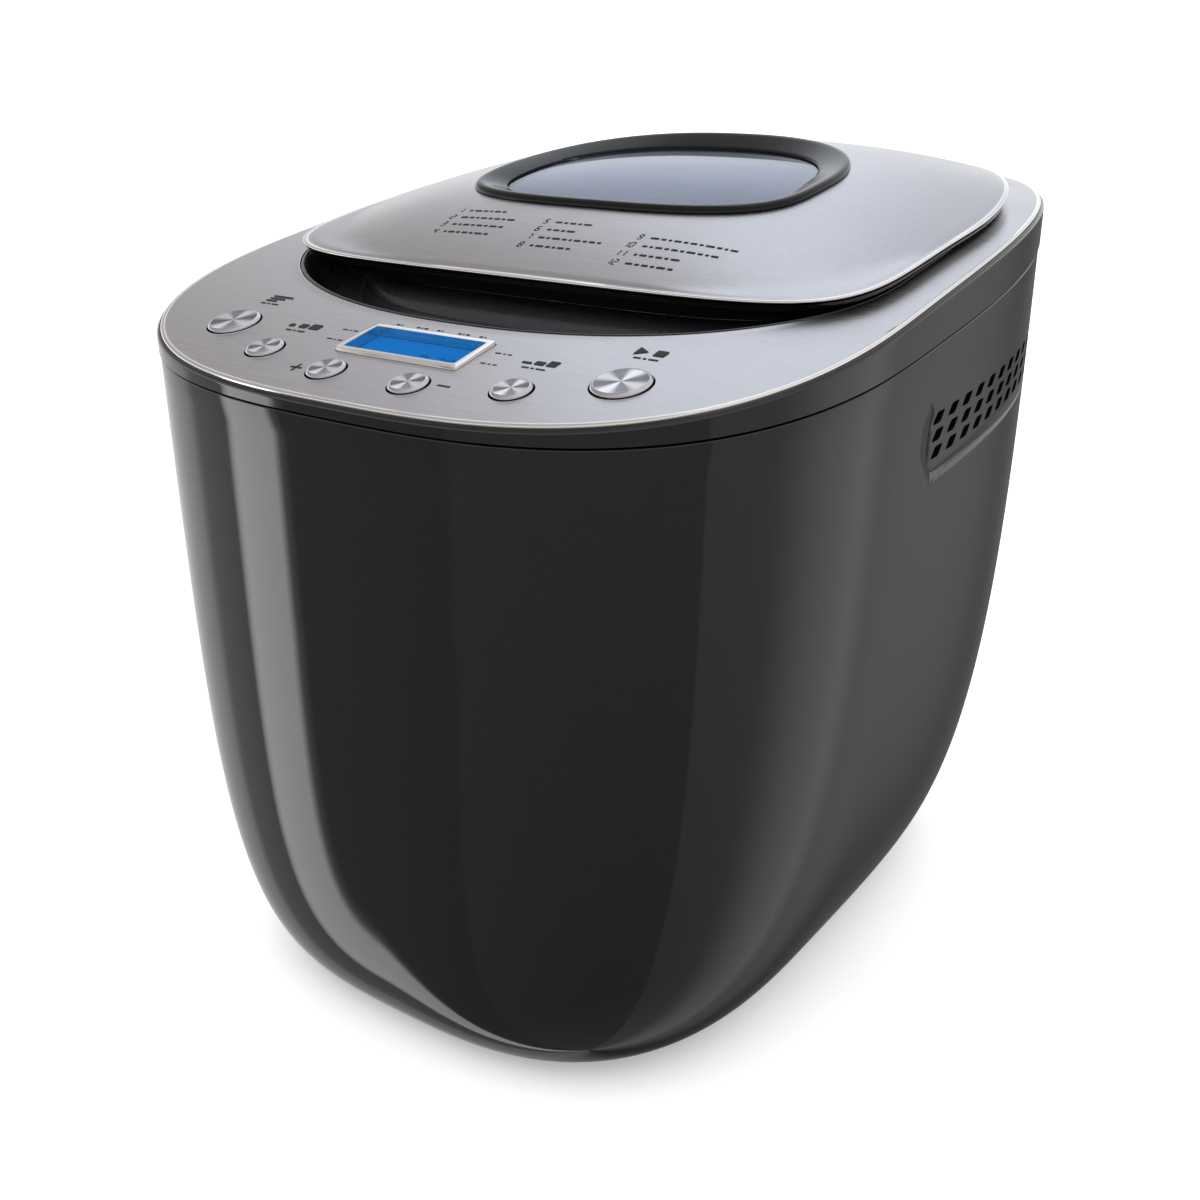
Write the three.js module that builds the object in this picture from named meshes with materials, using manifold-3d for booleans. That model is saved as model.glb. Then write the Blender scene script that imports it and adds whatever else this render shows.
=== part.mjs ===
// Bread machine with a domed steel lid, a viewing window and a sloping steel control fascia.
// Millimetres, +Z up. The front faces -Y, the floor is z = 0 and the origin is under the middle.
import * as THREE from 'three';
import { mergeVertices } from 'three/addons/utils/BufferGeometryUtils.js';
import Module from 'manifold-3d';

const wasm = await Module();
wasm.setup();

// ---- driving dimensions -------------------------------------------------------------------
const GAP = 0.3;                     // air between touching pieces
const FASCIA = { hw: 135, ym: -52.5, bf: 115.3, bb: 220.4, nf: 2.8, nb: 2.62 };
const SHEET = 0.9;                   // steel sheet of the fascia and the lid skin
const RIM_OUT = 1.8;                 // the black rim stands outside the steel by this much
const BASE_Z = 3.5;                  // underside of the shell
const WALL = 2.6;                    // moulded wall
const WELL = { hw: 119, ym: -35.2, bf: 75.8, bb: 190, nf: 2.25, nb: 2.6 };
const LEDGE_DEPTH = 9;               // lid seat below the fascia
const TROUGH_DEPTH = 15;             // finger trough below the lid seat
const LID = { hw: 121, ym: 5, bf: 84.5, bb: 141.2, nf: 6, nb: 2.2 };
const LID_RISE = 4.5;                // steel edge of the lid above the fascia
const DOME = 16;                     // crown of the lid above its edge
const DOME_Y = 35;                   // where the crown is
const WINDOW = { hw: 70, ym: 4, bf: 41, bb: 66, nf: 3.2, nb: 2.3 };
const GLASS_INSET = 11;              // width of the window frame
const CHAMBER = { hw: 84, ym: 30, bf: 76, bb: 76, nf: 4.5, nb: 4.5 };
const CHAMBER_FLOOR = 76;
const PAN = { hw: 67, ym: 30, bf: 59, bb: 59, nf: 4.5, nb: 4.5 };
const PAN_FLOOR = 98;
const PAN_TOP = 226;
const DRIVE_Y = 30;                  // kneading shaft
const MOTOR_Y = -100;
const BIG_PULLEY_R = 36;
const SMALL_PULLEY_R = 9;
const SHAFT_R = 4;
const HINGE = { y: 141, z: 276.2, x: 30, r: 1.2 };
const DISPLAY = { y: -130, w: 50, d: 20.6 };
const BUTTONS = [
  { name: 'menu_button', x: -79, y: -132.5, r: 9.0 },
  { name: 'size_button', x: -50.3, y: -145.5, r: 6.3 },
  { name: 'plus_button', x: -16.8, y: -151.7, r: 6.3 },
  { name: 'minus_button', x: 16.8, y: -151.7, r: 6.3 },
  { name: 'crust_button', x: 50.3, y: -145.5, r: 6.3 },
  { name: 'start_button', x: 79, y: -132.5, r: 9.0 },
];
const SEG = 40;                      // points round the large outlines
const SEG_IN = 28;                   // points round the inner outlines

// ---- shared surfaces ----------------------------------------------------------------------
const fasciaZ = (y) => 265.07 + 0.13326 * y - 0.00038418 * y * y;
const seamZ = (y) => 249.88 + 0.11777 * y - 0.0001185 * y * y;
const slopeAt = (y) => Math.atan(0.13326 - 2 * 0.00038418 * y);
const power = (v, n) => Math.sign(v) * Math.abs(v) ** n;
const smooth = (a, b, v) => {
  const u = Math.min(1, Math.max(0, (v - a) / (b - a)));
  return u * u * (3 - 2 * u);
};

function outline(shape, grow = 0, count = SEG) {
  const points = [];
  for (let i = 0; i < count; i += 1) {
    const angle = ((i + 0.5) / count) * 2 * Math.PI;
    const s = Math.sin(angle);
    const n = s < 0 ? shape.nf : shape.nb;
    const depth = (s < 0 ? shape.bf : shape.bb) + grow;
    points.push([(shape.hw + grow) * power(Math.cos(angle), 2 / n), shape.ym + depth * power(s, 2 / n)]);
  }
  return points;
}

const between = (a, b, f) => a.map((p, i) => [p[0] + (b[i][0] - p[0]) * f, p[1] + (b[i][1] - p[1]) * f]);
const ringAt = (points, z) => points.map(([x, y]) => [x, y, typeof z === 'function' ? z(y, x) : z]);

function lidDistance(x, y) {
  const dy = y - DOME_Y;
  const reach = dy < 0 ? DOME_Y - (LID.ym - LID.bf) : LID.ym + LID.bb - DOME_Y;
  const n = dy < 0 ? 3.4 : 2.3;
  const s = (Math.abs(x / LID.hw) ** n + Math.abs(dy / reach) ** n) ** (1 / n);
  return Math.min(1, s);
}
const lidZ = (y, x) => fasciaZ(y) + LID_RISE + DOME * (1 - lidDistance(x, y) ** 2.2);

// ---- solids from rings --------------------------------------------------------------------
function capFaces(ring, offset, flip) {
  const flat = ring.map(([x, y]) => new THREE.Vector2(x, y));
  const faces = THREE.ShapeUtils.triangulateShape(flat, []);
  const order = flip ? [0, 2, 1] : [0, 1, 2];
  return faces.map((face) => order.map((k) => offset + face[k]));
}

function toGeometry(points, faces) {
  const geometry = new THREE.BufferGeometry();
  geometry.setAttribute('position', new THREE.Float32BufferAttribute(points.flat(), 3));
  geometry.setIndex(faces.flat());
  return volumeOf(geometry) < 0 ? turnedOut(geometry) : geometry;
}

function volumeOf(geometry) {
  const p = geometry.getAttribute('position');
  const index = geometry.getIndex().array;
  const [a, b, c] = [new THREE.Vector3(), new THREE.Vector3(), new THREE.Vector3()];
  let sum = 0;
  for (let i = 0; i < index.length; i += 3) {
    a.fromBufferAttribute(p, index[i]);
    b.fromBufferAttribute(p, index[i + 1]);
    c.fromBufferAttribute(p, index[i + 2]);
    sum += a.dot(b.cross(c));
  }
  return sum;
}

function turnedOut(geometry) {
  const index = geometry.getIndex().array;
  for (let i = 0; i < index.length; i += 3) [index[i + 1], index[i + 2]] = [index[i + 2], index[i + 1]];
  return geometry;
}

// A skin over stacked rings. A closed stack is a hoop; an open one gets a cap at each end.
function skin(rings, closed = false) {
  const n = rings[0].length;
  const faces = [];
  const last = closed ? rings.length : rings.length - 1;
  for (let r = 0; r < last; r += 1) {
    const lower = r * n;
    const upper = ((r + 1) % rings.length) * n;
    for (let i = 0; i < n; i += 1) {
      const j = (i + 1) % n;
      faces.push([lower + i, lower + j, upper + j], [lower + i, upper + j, upper + i]);
    }
  }
  if (!closed) {
    faces.push(...capFaces(rings[0], 0, true));
    faces.push(...capFaces(rings.at(-1), (rings.length - 1) * n, false));
  }
  return toGeometry(rings.flat(), faces);
}

// ---- booleans -----------------------------------------------------------------------------
function solid(geometry) {
  const bare = geometry.clone();
  bare.deleteAttribute('normal');
  bare.deleteAttribute('uv');
  const merged = mergeVertices(bare, 1e-4);
  return new wasm.Manifold(new wasm.Mesh({
    numProp: 3,
    vertProperties: new Float32Array(merged.getAttribute('position').array),
    triVerts: new Uint32Array(merged.getIndex().array),
  }));
}

function fromSolid(manifold) {
  const mesh = manifold.getMesh();
  const geometry = new THREE.BufferGeometry();
  geometry.setAttribute('position', new THREE.BufferAttribute(new Float32Array(mesh.vertProperties), 3));
  geometry.setIndex(new THREE.BufferAttribute(new Uint32Array(mesh.triVerts), 1));
  return geometry;
}

function joined(geometries) {
  return fromSolid(geometries.map(solid).reduce((a, b) => a.add(b)));
}

function cut(geometry, tools) {
  return fromSolid(tools.map(solid).reduce((a, b) => a.subtract(b), solid(geometry)));
}

// ---- simple shapes ------------------------------------------------------------------------
function block(x0, x1, y0, y1, z0, z1) {
  const box = new THREE.BoxGeometry(x1 - x0, y1 - y0, z1 - z0);
  return box.translate((x0 + x1) / 2, (y0 + y1) / 2, (z0 + z1) / 2);
}

function turned(profile, x, y, segments = 32) {
  const lathe = new THREE.LatheGeometry(profile.map(([r, z]) => new THREE.Vector2(r, z)), segments);
  return mergeVertices(stripped(lathe), 1e-4).rotateX(Math.PI / 2).translate(x, y, 0);
}

function stripped(geometry) {
  geometry.deleteAttribute('normal');
  geometry.deleteAttribute('uv');
  return geometry;
}

const rod = (r, z0, z1, x, y, segments = 24) => (
  turned([[0, z0], [r, z0], [r, z1], [0, z1]], x, y, segments));
const tube = (ri, ro, z0, z1, x, y, segments = 24) => (
  turned([[ri, z0], [ro, z0], [ro, z1], [ri, z1], [ri, z0]], x, y, segments));

// Turns a shape made about the origin so its +Z is the fascia's normal, and seats it at x, y.
function onFascia(geometry, x, y) {
  return geometry.rotateX(slopeAt(y)).translate(x, y, fasciaZ(y));
}

function extruded(points, depth, holes = []) {
  const shape = new THREE.Shape(points.map(([x, y]) => new THREE.Vector2(x, y)));
  shape.holes = holes.map((hole) => new THREE.Path(hole.map(([x, y]) => new THREE.Vector2(x, y))));
  return stripped(new THREE.ExtrudeGeometry(shape, { depth, bevelEnabled: false }));
}

const circle = (r, x, y, count = 20) => Array.from({ length: count }, (_, i) => {
  const a = (i / count) * 2 * Math.PI;
  return [x + r * Math.cos(a), y + r * Math.sin(a)];
});

function roundedRect(w, d, r, count = 4) {
  const points = [];
  const [x, y] = [w / 2 - r, d / 2 - r];
  [[x, y], [-x, y], [-x, -y], [x, -y]].forEach(([cx, cy], quarter) => {
    for (let i = 0; i <= count; i += 1) {
      const a = (quarter + i / count) * (Math.PI / 2);
      points.push([cx + r * Math.cos(a), cy + r * Math.sin(a)]);
    }
  });
  return points;
}

// ---- body ---------------------------------------------------------------------------------
function shellRing(t, inset = 0, lift = 0) {
  const fall = (d, m) => d * (1 - Math.sqrt(Math.max(0, 1 - t ** m)));
  const section = {
    hw: FASCIA.hw * (1 - 0.038 * t - fall(0.319, 3.71)),
    ym: FASCIA.ym,
    bf: FASCIA.bf * (1 - fall(0.17, 8)),
    bb: FASCIA.bb * (1 - 0.149 * t - fall(0.02, 2.56)),
    nf: FASCIA.nf + 0.06 * t,
    nb: FASCIA.nb + 0.91 * t,
  };
  const top = outline(FASCIA, 0);
  const points = outline(section, RIM_OUT * (1 - t) - 0.4 - inset);
  return points.map(([x, y], i) => [x, y, (seamZ(top[i][1]) - GAP) * (1 - t) + BASE_Z * t + lift]);
}

// Three rows of leaning slots high on each side, following the seam.
const VENT = {
  y: -39, z: 220, columns: 11, pitch: 12.2, rows: 3, drop: 5.7, climb: 0.045, half: 3.2, tall: 1.8, lean: 1.6,
};

function ventCutters() {
  const { half, tall, lean } = VENT;
  const slot = [[-half - lean, -tall], [half - lean, -tall], [half + lean, tall], [lean - half, tall]];
  const cutters = [];
  for (const side of [-1, 1]) {
    for (let row = 0; row < VENT.rows; row += 1) {
      for (let column = 0; column < VENT.columns; column += 1) {
        const y = VENT.y + column * VENT.pitch + row * 0.6;
        const z = VENT.z - row * VENT.drop + (y - VENT.y) * VENT.climb;
        const cutter = extruded(slot, 60).rotateX(Math.PI / 2).rotateZ(Math.PI / 2);
        cutters.push(cutter.translate(side > 0 ? 95 : -155, y, z));
      }
    }
  }
  return cutters;
}

const MAINS = { x: -48, z: 48, r: 9 };

function bodyShell() {
  const outer = [1, 0.993, 0.97, 0.93, 0.87, 0.78, 0.64, 0.46, 0.24, 0];
  const inner = [0, 0.24, 0.64, 0.87, 0.97];
  const rings = [
    shellRing(1, 6, 2.5),
    shellRing(1, 6, 0),
    ...outer.map((t) => shellRing(t)),
    ...inner.map((t) => shellRing(t, WALL + 1.5 * t ** 6, 2.6 * t ** 6)),
  ];
  const gland = rod(MAINS.r + GAP, -40, 40, 0, 0).rotateX(Math.PI / 2).translate(MAINS.x, 150, MAINS.z);
  return cut(skin(rings, true), [...ventCutters(), gland]);
}

function basePlate() {
  const edge = shellRing(1, 6 + GAP, 0).map(([x, y]) => [x, y]);
  const plate = skin([ringAt(edge, BASE_Z), ringAt(edge, BASE_Z + 2.5)]);
  const slots = [];
  for (let i = -3; i <= 3; i += 1) slots.push(block(i * 10 - 2, i * 10 + 2, -118, -82, 0, 10));
  const pegs = FEET.map(([, x, y]) => rod(3 + GAP, 0, 10, x, y, 12));
  return cut(plate, [...slots, ...pegs]);
}

const FEET = [
  ['foot_front_left', -56, -112], ['foot_front_right', 56, -112],
  ['foot_rear_left', -56, 92], ['foot_rear_right', 56, 92],
];

function foot(x, y) {
  return turned([[0, 0], [8, 0], [9, 1], [9, 3.2], [3, 3.2], [3, 5.6], [0, 5.6]], x, y, 14);
}

function mainsGland() {
  const profile = [
    [4, -9], [MAINS.r, -9], [MAINS.r, 2], [12, 2.6], [12, 5.4], [10.6, 7.4], [6, 7.4], [4, 5], [4, -9],
  ];
  return turned(profile, 0, 0, 20).rotateX(-Math.PI / 2).translate(MAINS.x, 136.2, MAINS.z);
}

// ---- upper housing, fascia ----------------------------------------------------------------
const OPENING = { hw: 90, ym: 30, bf: 82, bb: 82, nf: 4.5, nb: 4.5 };

function wellDepth(y, trough) {
  return LEDGE_DEPTH + TROUGH_DEPTH * trough * (1 - smooth(-82, -48, y));
}

function upperHousing() {
  const rim = (grow, z) => ringAt(outline(FASCIA, grow), z);
  const well = (grow, drop) => ringAt(outline(WELL, grow), (y) => fasciaZ(y) - drop);
  const lip = outline(WELL, -3);
  const mouth = outline(OPENING);
  const deck = (f, drop) => ringAt(between(outline(FASCIA), outline(WELL), f), (y) => fasciaZ(y) - drop);
  const floorRing = (f, trough, extra = 0, out = 0) => {
    const points = between(outline(WELL, -3 + out), outline(OPENING, out), f);
    return ringAt(points, (y) => fasciaZ(y) - wellDepth(y, trough) - extra);
  };
  const drop = SHEET + GAP;
  return skin([
    rim(RIM_OUT, (y) => seamZ(y)),
    rim(RIM_OUT, (y) => fasciaZ(y) - 1.8),
    rim(RIM_OUT - 0.8, (y) => fasciaZ(y) - 0.8),
    rim(GAP, (y) => fasciaZ(y) - 0.8),
    rim(GAP, (y) => fasciaZ(y) - drop),
    deck(0.34, drop),
    deck(0.67, drop),
    well(-GAP, drop),
    well(-GAP, 0.2),
    well(-1.6, 0.2),
    ringAt(lip, (y) => fasciaZ(y) - 2.4),
    floorRing(0.16, 1),
    floorRing(0.42, 1),
    floorRing(0.54, 0),
    ringAt(mouth, (y) => fasciaZ(y) - LEDGE_DEPTH),
    ringAt(mouth, (y) => fasciaZ(y) - LEDGE_DEPTH - 10),
    ringAt(outline(OPENING, 2.4), (y) => fasciaZ(y) - LEDGE_DEPTH - 10),
    ringAt(outline(OPENING, 2.4), (y) => fasciaZ(y) - LEDGE_DEPTH - 2.4),
    floorRing(0.52, 0.1, 2.4, 2.4),
    floorRing(0.42, 1, 2.4, 2.4),
    floorRing(0.08, 1, 2.4, 2.4),
    well(0, 3.6),
    deck(0.67, 3.6),
    deck(0.34, 3.6),
    rim(-1.4, (y) => fasciaZ(y) - 3.6),
    rim(-1.4, (y) => seamZ(y)),
  ], true);
}

function keyHoles(grow) {
  return BUTTONS.map((b) => onFascia(rod(b.r + grow, -12, 12, 0, 0, 16), b.x, b.y));
}

function displayOpening(grow) {
  const window = extruded(roundedRect(DISPLAY.w + grow, DISPLAY.d + grow, 1.2), 24).translate(0, 0, -12);
  return onFascia(window, 0, DISPLAY.y);
}

function fasciaSheet() {
  const at = (f, drop) => ringAt(between(outline(FASCIA), outline(WELL), f), (y) => fasciaZ(y) - drop);
  return skin([
    at(0, SHEET),
    ringAt(outline(FASCIA), (y) => fasciaZ(y) - 0.3),
    ringAt(outline(FASCIA, -0.7), (y) => fasciaZ(y)),
    at(0.34, 0),
    at(0.67, 0),
    at(1, 0),
    at(1, SHEET),
    at(0.67, SHEET),
    at(0.34, SHEET),
  ], true);
}

function button(b) {
  const stem = [[0, -6.5], [2, -6.5], [2, -3]];
  const collar = [[b.r + 1.8, -3], [b.r + 1.8, -1.8]];
  const cap = [[b.r, -1.8], [b.r, 0.4], [b.r - 0.9, 1.2], [0, 1.2]];
  const profile = [...stem, ...collar, ...cap];
  return onFascia(turned(profile, 0, 0, 16), b.x, b.y);
}

// ---- display and electronics --------------------------------------------------------------
function displayBezel() {
  const outer = roundedRect(DISPLAY.w - 2 * GAP, DISPLAY.d - 2 * GAP, 1);
  const inner = roundedRect(DISPLAY.w - 5, DISPLAY.d - 5, 0.6);
  return onFascia(extruded(outer, 3.6, [inner]).translate(0, 0, -2.4), 0, DISPLAY.y);
}

function displayPlate(inset, z0, z1) {
  const plate = extruded(roundedRect(DISPLAY.w - inset, DISPLAY.d - inset, 0.8), z1 - z0);
  return onFascia(plate.translate(0, 0, z0), 0, DISPLAY.y);
}

function boardOn(z0, parts) {
  return parts.map(([x0, x1, y0, y1, a, b]) => block(x0, x1, y0, y1, z0 + a, z0 + b))
    .map((piece) => onFascia(piece, 0, -132));
}

function controlBoard() {
  const board = [[-86, 86, -19, 17, 0, 1.6]];
  const switches = BUTTONS.map((b) => [b.x - 3, b.x + 3, b.y + 129, b.y + 135, 1.5, 3.6]);
  return joined(boardOn(-14.5, [...board, ...switches]));
}

function powerBoard() {
  return joined([
    block(-84, -82.4, -136, -72, 70, 150),
    block(-82.5, -64, -126, -104, 82, 112),
    block(-82.5, -70, -96, -80, 84, 104),
    block(-82.5, -72, -128, -84, 122, 136),
  ]);
}

// ---- oven chamber -------------------------------------------------------------------------
function chamber() {
  const wall = (grow, z) => ringAt(outline(CHAMBER, grow, SEG_IN), z);
  const brim = (y) => fasciaZ(y) - LEDGE_DEPTH - 4;
  const body = skin([
    wall(-6, CHAMBER_FLOOR),
    wall(0, CHAMBER_FLOOR + 6),
    wall(0, (y) => brim(y) - 1.2),
    wall(5, (y) => brim(y) - 1.2),
    wall(5, brim),
    wall(-1.2, brim),
    wall(-1.2, CHAMBER_FLOOR + 7),
    wall(-7, CHAMBER_FLOOR + 1.2),
  ]);
  const frontHole = (r, x, z) => rod(r, -15, 15, 0, 0, 16).rotateX(Math.PI / 2).translate(x, -46, z);
  const shaft = rod(11, 60, 90, 0, DRIVE_Y);
  return cut(body, [shaft, frontHole(5.5, -14, 104), frontHole(5.5, 14, 104), frontHole(4.3, 40, 128)]);
}

class LoopPath extends THREE.Curve {
  constructor(points) {
    super();
    this.inner = new THREE.CatmullRomCurve3(points, false, 'centripetal');
  }

  getPoint(u, target = new THREE.Vector3()) {
    return this.inner.getPoint(u, target);
  }
}

function bar(points, radius, steps, sides = 10) {
  const profile = new THREE.Shape(circle(radius, 0, 0, sides).map(([x, y]) => new THREE.Vector2(x, y)));
  const path = new LoopPath(points.map((p) => new THREE.Vector3(...p)));
  return stripped(new THREE.ExtrudeGeometry(profile, { steps, bevelEnabled: false, extrudePath: path }));
}

function heatingElement() {
  const z = 104;
  const [x, front, back] = [75.4, -37.4, 97.4];
  const far = 24;
  const near = 7.5;
  const corner = (sx, y, sy) => [
    [sx * x, y + sy * far, z], [sx * (x - near), y + sy * near, z], [sx * (x - far), y, z],
  ];
  const lead = (s) => [[s * 14, -64, z], [s * 14, -54, z], [s * 14.5, front - 2, z], [s * 24, front, z]];
  return bar([
    ...lead(-1), ...corner(-1, front, 1).reverse(), [-x, 30, z], ...corner(-1, back, -1), [0, back, z],
    ...corner(1, back, -1).reverse(), [x, 30, z], ...corner(1, front, 1), ...lead(1).reverse(),
  ], 3, 56, 6);
}

function temperatureSensor() {
  const body = turned([[0, -16], [4, -16], [4, 6], [2.6, 8], [0, 8]], 0, 0, 18).rotateX(-Math.PI / 2);
  const collar = rod(7, -14, -11, 0, 0, 18).rotateX(-Math.PI / 2);
  return joined([body, collar]).translate(40, -43, 128);
}

// ---- drive --------------------------------------------------------------------------------
function stand(x, y0, y1, bossR, bossZ, y, bore) {
  const plate = block(-x, x, y0, y1, 34, 37.5);
  const corners = [[-x, y0], [x - 8, y0], [-x, y1 - 8], [x - 8, y1 - 8]];
  const legs = corners.map(([a, b]) => block(a, a + 8, b, b + 8, 6.3, 35));
  const boss = rod(bossR, 31, bossZ, 0, y, 28);
  return cut(joined([plate, ...legs, boss]), [rod(bore, 0, 90, 0, y, 28)]);
}

function pulley(r, z0, z1, bore, y, web) {
  const mid = (z0 + z1) / 2;
  const lower = [[bore, z0], [r + 2, z0], [r + 2, z0 + 1.2], [r, z0 + 1.6]];
  const upper = [[r, z1 - 1.6], [r + 2, z1 - 1.2], [r + 2, z1], [r - 4, z1]];
  const dish = web ? [[r - 4, mid + 1.5], [bore + 5, mid + 1.5], [bore + 5, z1]] : [];
  return turned([...lower, ...upper, ...dish, [bore, z1], [bore, z0]], 0, y, 24);
}

function beltOutline(grow) {
  const [y0, y1] = [MOTOR_Y, DRIVE_Y];
  const [r0, r1] = [SMALL_PULLEY_R + grow, BIG_PULLEY_R + grow];
  const lean = Math.asin((BIG_PULLEY_R - SMALL_PULLEY_R) / (y1 - y0));
  const points = [];
  for (let i = 0; i <= 20; i += 1) {
    const a = -lean + (i / 20) * (Math.PI + 2 * lean);
    points.push([r1 * Math.cos(a), y1 + r1 * Math.sin(a)]);
  }
  for (let i = 0; i <= 10; i += 1) {
    const a = Math.PI + lean + (i / 10) * (Math.PI - 2 * lean);
    points.push([r0 * Math.cos(a), y0 + r0 * Math.sin(a)]);
  }
  return points;
}

function belt() {
  const band = extruded(beltOutline(2.3), 7, [beltOutline(GAP)]);
  return band.translate(0, 0, 18.4);
}

function motor() {
  const can = turned([
    [3.15, 37.8], [30, 37.8], [32, 39.8], [32, 96], [29, 99], [12, 99], [12, 104], [3.15, 104], [3.15, 37.8],
  ], 0, MOTOR_Y, 24);
  const lugs = [-35, 28].map((x) => block(x, x + 7, MOTOR_Y - 6, MOTOR_Y + 6, 37.8, 43));
  return cut(joined([can, ...lugs]), [rod(3.15, 30, 110, 0, MOTOR_Y, 24)]);
}

const wing = (r, z0, z1, bore) => joined([
  tube(bore, 7, z0, z1, 0, DRIVE_Y, 24),
  ...[-1, 1].map((s) => block(s > 0 ? 6 : -r, s > 0 ? r : -6, DRIVE_Y - 2, DRIVE_Y + 2, z0, z1)),
]);

// ---- bread pan ----------------------------------------------------------------------------
const BAIL = { z: 214, x: 73.6, y: -22 };

function breadPan() {
  const wall = (grow, z) => ringAt(outline(PAN, grow, SEG_IN), z);
  const body = skin([
    wall(-12, PAN_FLOOR),
    wall(-5, PAN_FLOOR + 5),
    wall(-1, PAN_TOP - 3),
    wall(3, PAN_TOP - 2.4),
    wall(3.6, PAN_TOP - 0.8),
    wall(2.4, PAN_TOP),
    wall(-2.2, PAN_TOP - 1),
    wall(-6.8, PAN_FLOOR + 6),
    wall(-13, PAN_FLOOR + 1.8),
  ]);
  const ears = [-70, 65].map((x) => block(x, x + 5, 23, 37, BAIL.z - 8, BAIL.z + 9.7));
  const holes = [-70, 70].map((x) => rod(2.6, -4, 4, 0, 0, 16).rotateY(Math.PI / 2).translate(x, 30, BAIL.z));
  return cut(joined([body, ...ears]), [rod(8.3, 90, 110, 0, DRIVE_Y), ...holes]);
}

function panFoot() {
  const ring = tube(29, 33, 86, PAN_FLOOR - GAP, 0, DRIVE_Y, 28);
  const plate = tube(8.3, 33, PAN_FLOOR - 2.6, PAN_FLOOR - GAP, 0, DRIVE_Y, 28);
  return joined([ring, plate]);
}

function panBail() {
  const { x, y, z } = BAIL;
  const side = (s) => [
    [s * 67.4, 30, z], [s * (x - 2), 30, z], [s * x, 29, z + 0.6], [s * x, 24, z + 4], [s * x, 12, z + 12.5],
    [s * (x - 1.5), -4, z + 15.5],
  ];
  const front = [
    [-58, y + 4, z + 16], [-44, y, z + 16], [0, y, z + 16], [44, y, z + 16], [58, y + 4, z + 16],
  ];
  return bar([...side(-1), ...front, ...side(1).reverse()], 2, 44, 6);
}

function paddle() {
  const side = [[3.9, 101.8], [9, 101.8], [9.5, 104], [7.2, 122], [3.9, 122], [3.9, 101.8]];
  const hub = turned(side, 0, DRIVE_Y, 28);
  const edge = [[5, 102], [34, 102], [37, 106], [36, 118], [30, 131], [20, 136], [10, 128], [6, 118]];
  const blade = extruded(edge, 3);
  return joined([hub, blade.rotateX(Math.PI / 2).translate(0, DRIVE_Y + 1.5, 0)]);
}

// ---- lid ----------------------------------------------------------------------------------
const SKIRT = { hw: 108, ym: 4, bf: 75, bb: 127, nf: 5, nb: 2.3 };
const under = (drop) => (y, x) => lidZ(y, x) - drop;

function lidSkin() {
  const rim = outline(LID);
  const hole = outline(WINDOW, -1.5);
  const at = (f, drop) => ringAt(between(rim, hole, f), under(drop));
  return skin([
    ringAt(outline(LID, 0.6), under(SHEET)),
    ringAt(outline(LID, 0.6), under(0.3)),
    at(0.02, 0), at(0.3, 0), at(0.66, 0), at(1, 0),
    at(1, SHEET), at(0.66, SHEET), at(0.3, SHEET), at(0.02, SHEET),
  ], true);
}

function lidShell() {
  const rim = outline(LID);
  const hole = outline(WINDOW, -1.5);
  const at = (f, drop) => ringAt(between(rim, hole, f), under(drop));
  const skirt = (grow, drop) => ringAt(outline(SKIRT, grow), (y) => fasciaZ(y) - drop);
  const top = SHEET + 2 * GAP;
  return skin([
    ringAt(outline(LID, 0.2), under(top + 0.2)),
    at(0.02, top), at(0.3, top), at(0.66, top), at(1, top),
    at(1, top + 2.2), at(0.66, top + 2.2), at(0.3, top + 2.2),
    skirt(-2.4, -1), skirt(-2.4, 6), skirt(0, 6), skirt(0, -0.4),
    ringAt(outline(LID, -1.2), (y) => fasciaZ(y) + 0.6),
    ringAt(outline(LID, -0.2), (y) => fasciaZ(y) + 1.6),
  ], true);
}

function windowFrame() {
  const ring = (grow, z) => ringAt(outline(WINDOW, grow, SEG_IN), z);
  const level = (y) => lidZ(y, 0);
  return skin([
    ring(-2, under(5)),
    ring(-2, under(-0.3)),
    ring(0, under(-0.3)),
    ring(0, under(-1.2)),
    ring(-1.5, under(-2.2)),
    ring(-4, under(-1.8)),
    ring(-GLASS_INSET, (y, x) => level(y) * 0.5 + lidZ(y, x) * 0.5 - 2.8),
    ring(-GLASS_INSET, (y, x) => level(y) * 0.5 + lidZ(y, x) * 0.5 - 3.4),
    ring(-GLASS_INSET + 2.4, (y, x) => level(y) * 0.5 + lidZ(y, x) * 0.5 - 3.4),
    ring(-GLASS_INSET + 2.4, (y, x) => level(y) * 0.5 + lidZ(y, x) * 0.5 - 8),
    ring(-4, under(9)),
  ], true);
}

function outerGlass() {
  const level = (drop) => (y, x) => lidZ(y, 0) * 0.5 + lidZ(y, x) * 0.5 - drop;
  const edge = outline(WINDOW, 2.4 - GLASS_INSET - GAP, SEG_IN);
  const middle = edge.map(([x, y]) => [x * 0.5, WINDOW.ym + (y - WINDOW.ym) * 0.5]);
  return skin([
    ringAt(middle, level(6.2)),
    ringAt(edge, level(6.2)),
    ringAt(edge, level(3.7)),
    ringAt(middle, level(3.7)),
  ]);
}

const linerZ = (y) => fasciaZ(y) - 6;

function innerGlass() {
  const edge = outline(WINDOW, -14, SEG_IN);
  return skin([ringAt(edge, (y) => linerZ(y) + GAP), ringAt(edge, (y) => linerZ(y) + 3.3)]);
}

function lidLiner() {
  const edge = (grow) => outline(SKIRT, grow);
  const hole = outline(WINDOW, -18);
  return skin([
    ringAt(edge(-2.4 - GAP), (y) => linerZ(y) - 1.2),
    ringAt(edge(-2.4 - GAP), (y) => linerZ(y) + 5),
    ringAt(edge(-3.6 - GAP), (y) => linerZ(y) + 5),
    ringAt(edge(-3.6 - GAP), linerZ),
    ringAt(hole, linerZ),
    ringAt(hole, (y) => linerZ(y) - 1.2),
  ], true);
}

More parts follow.
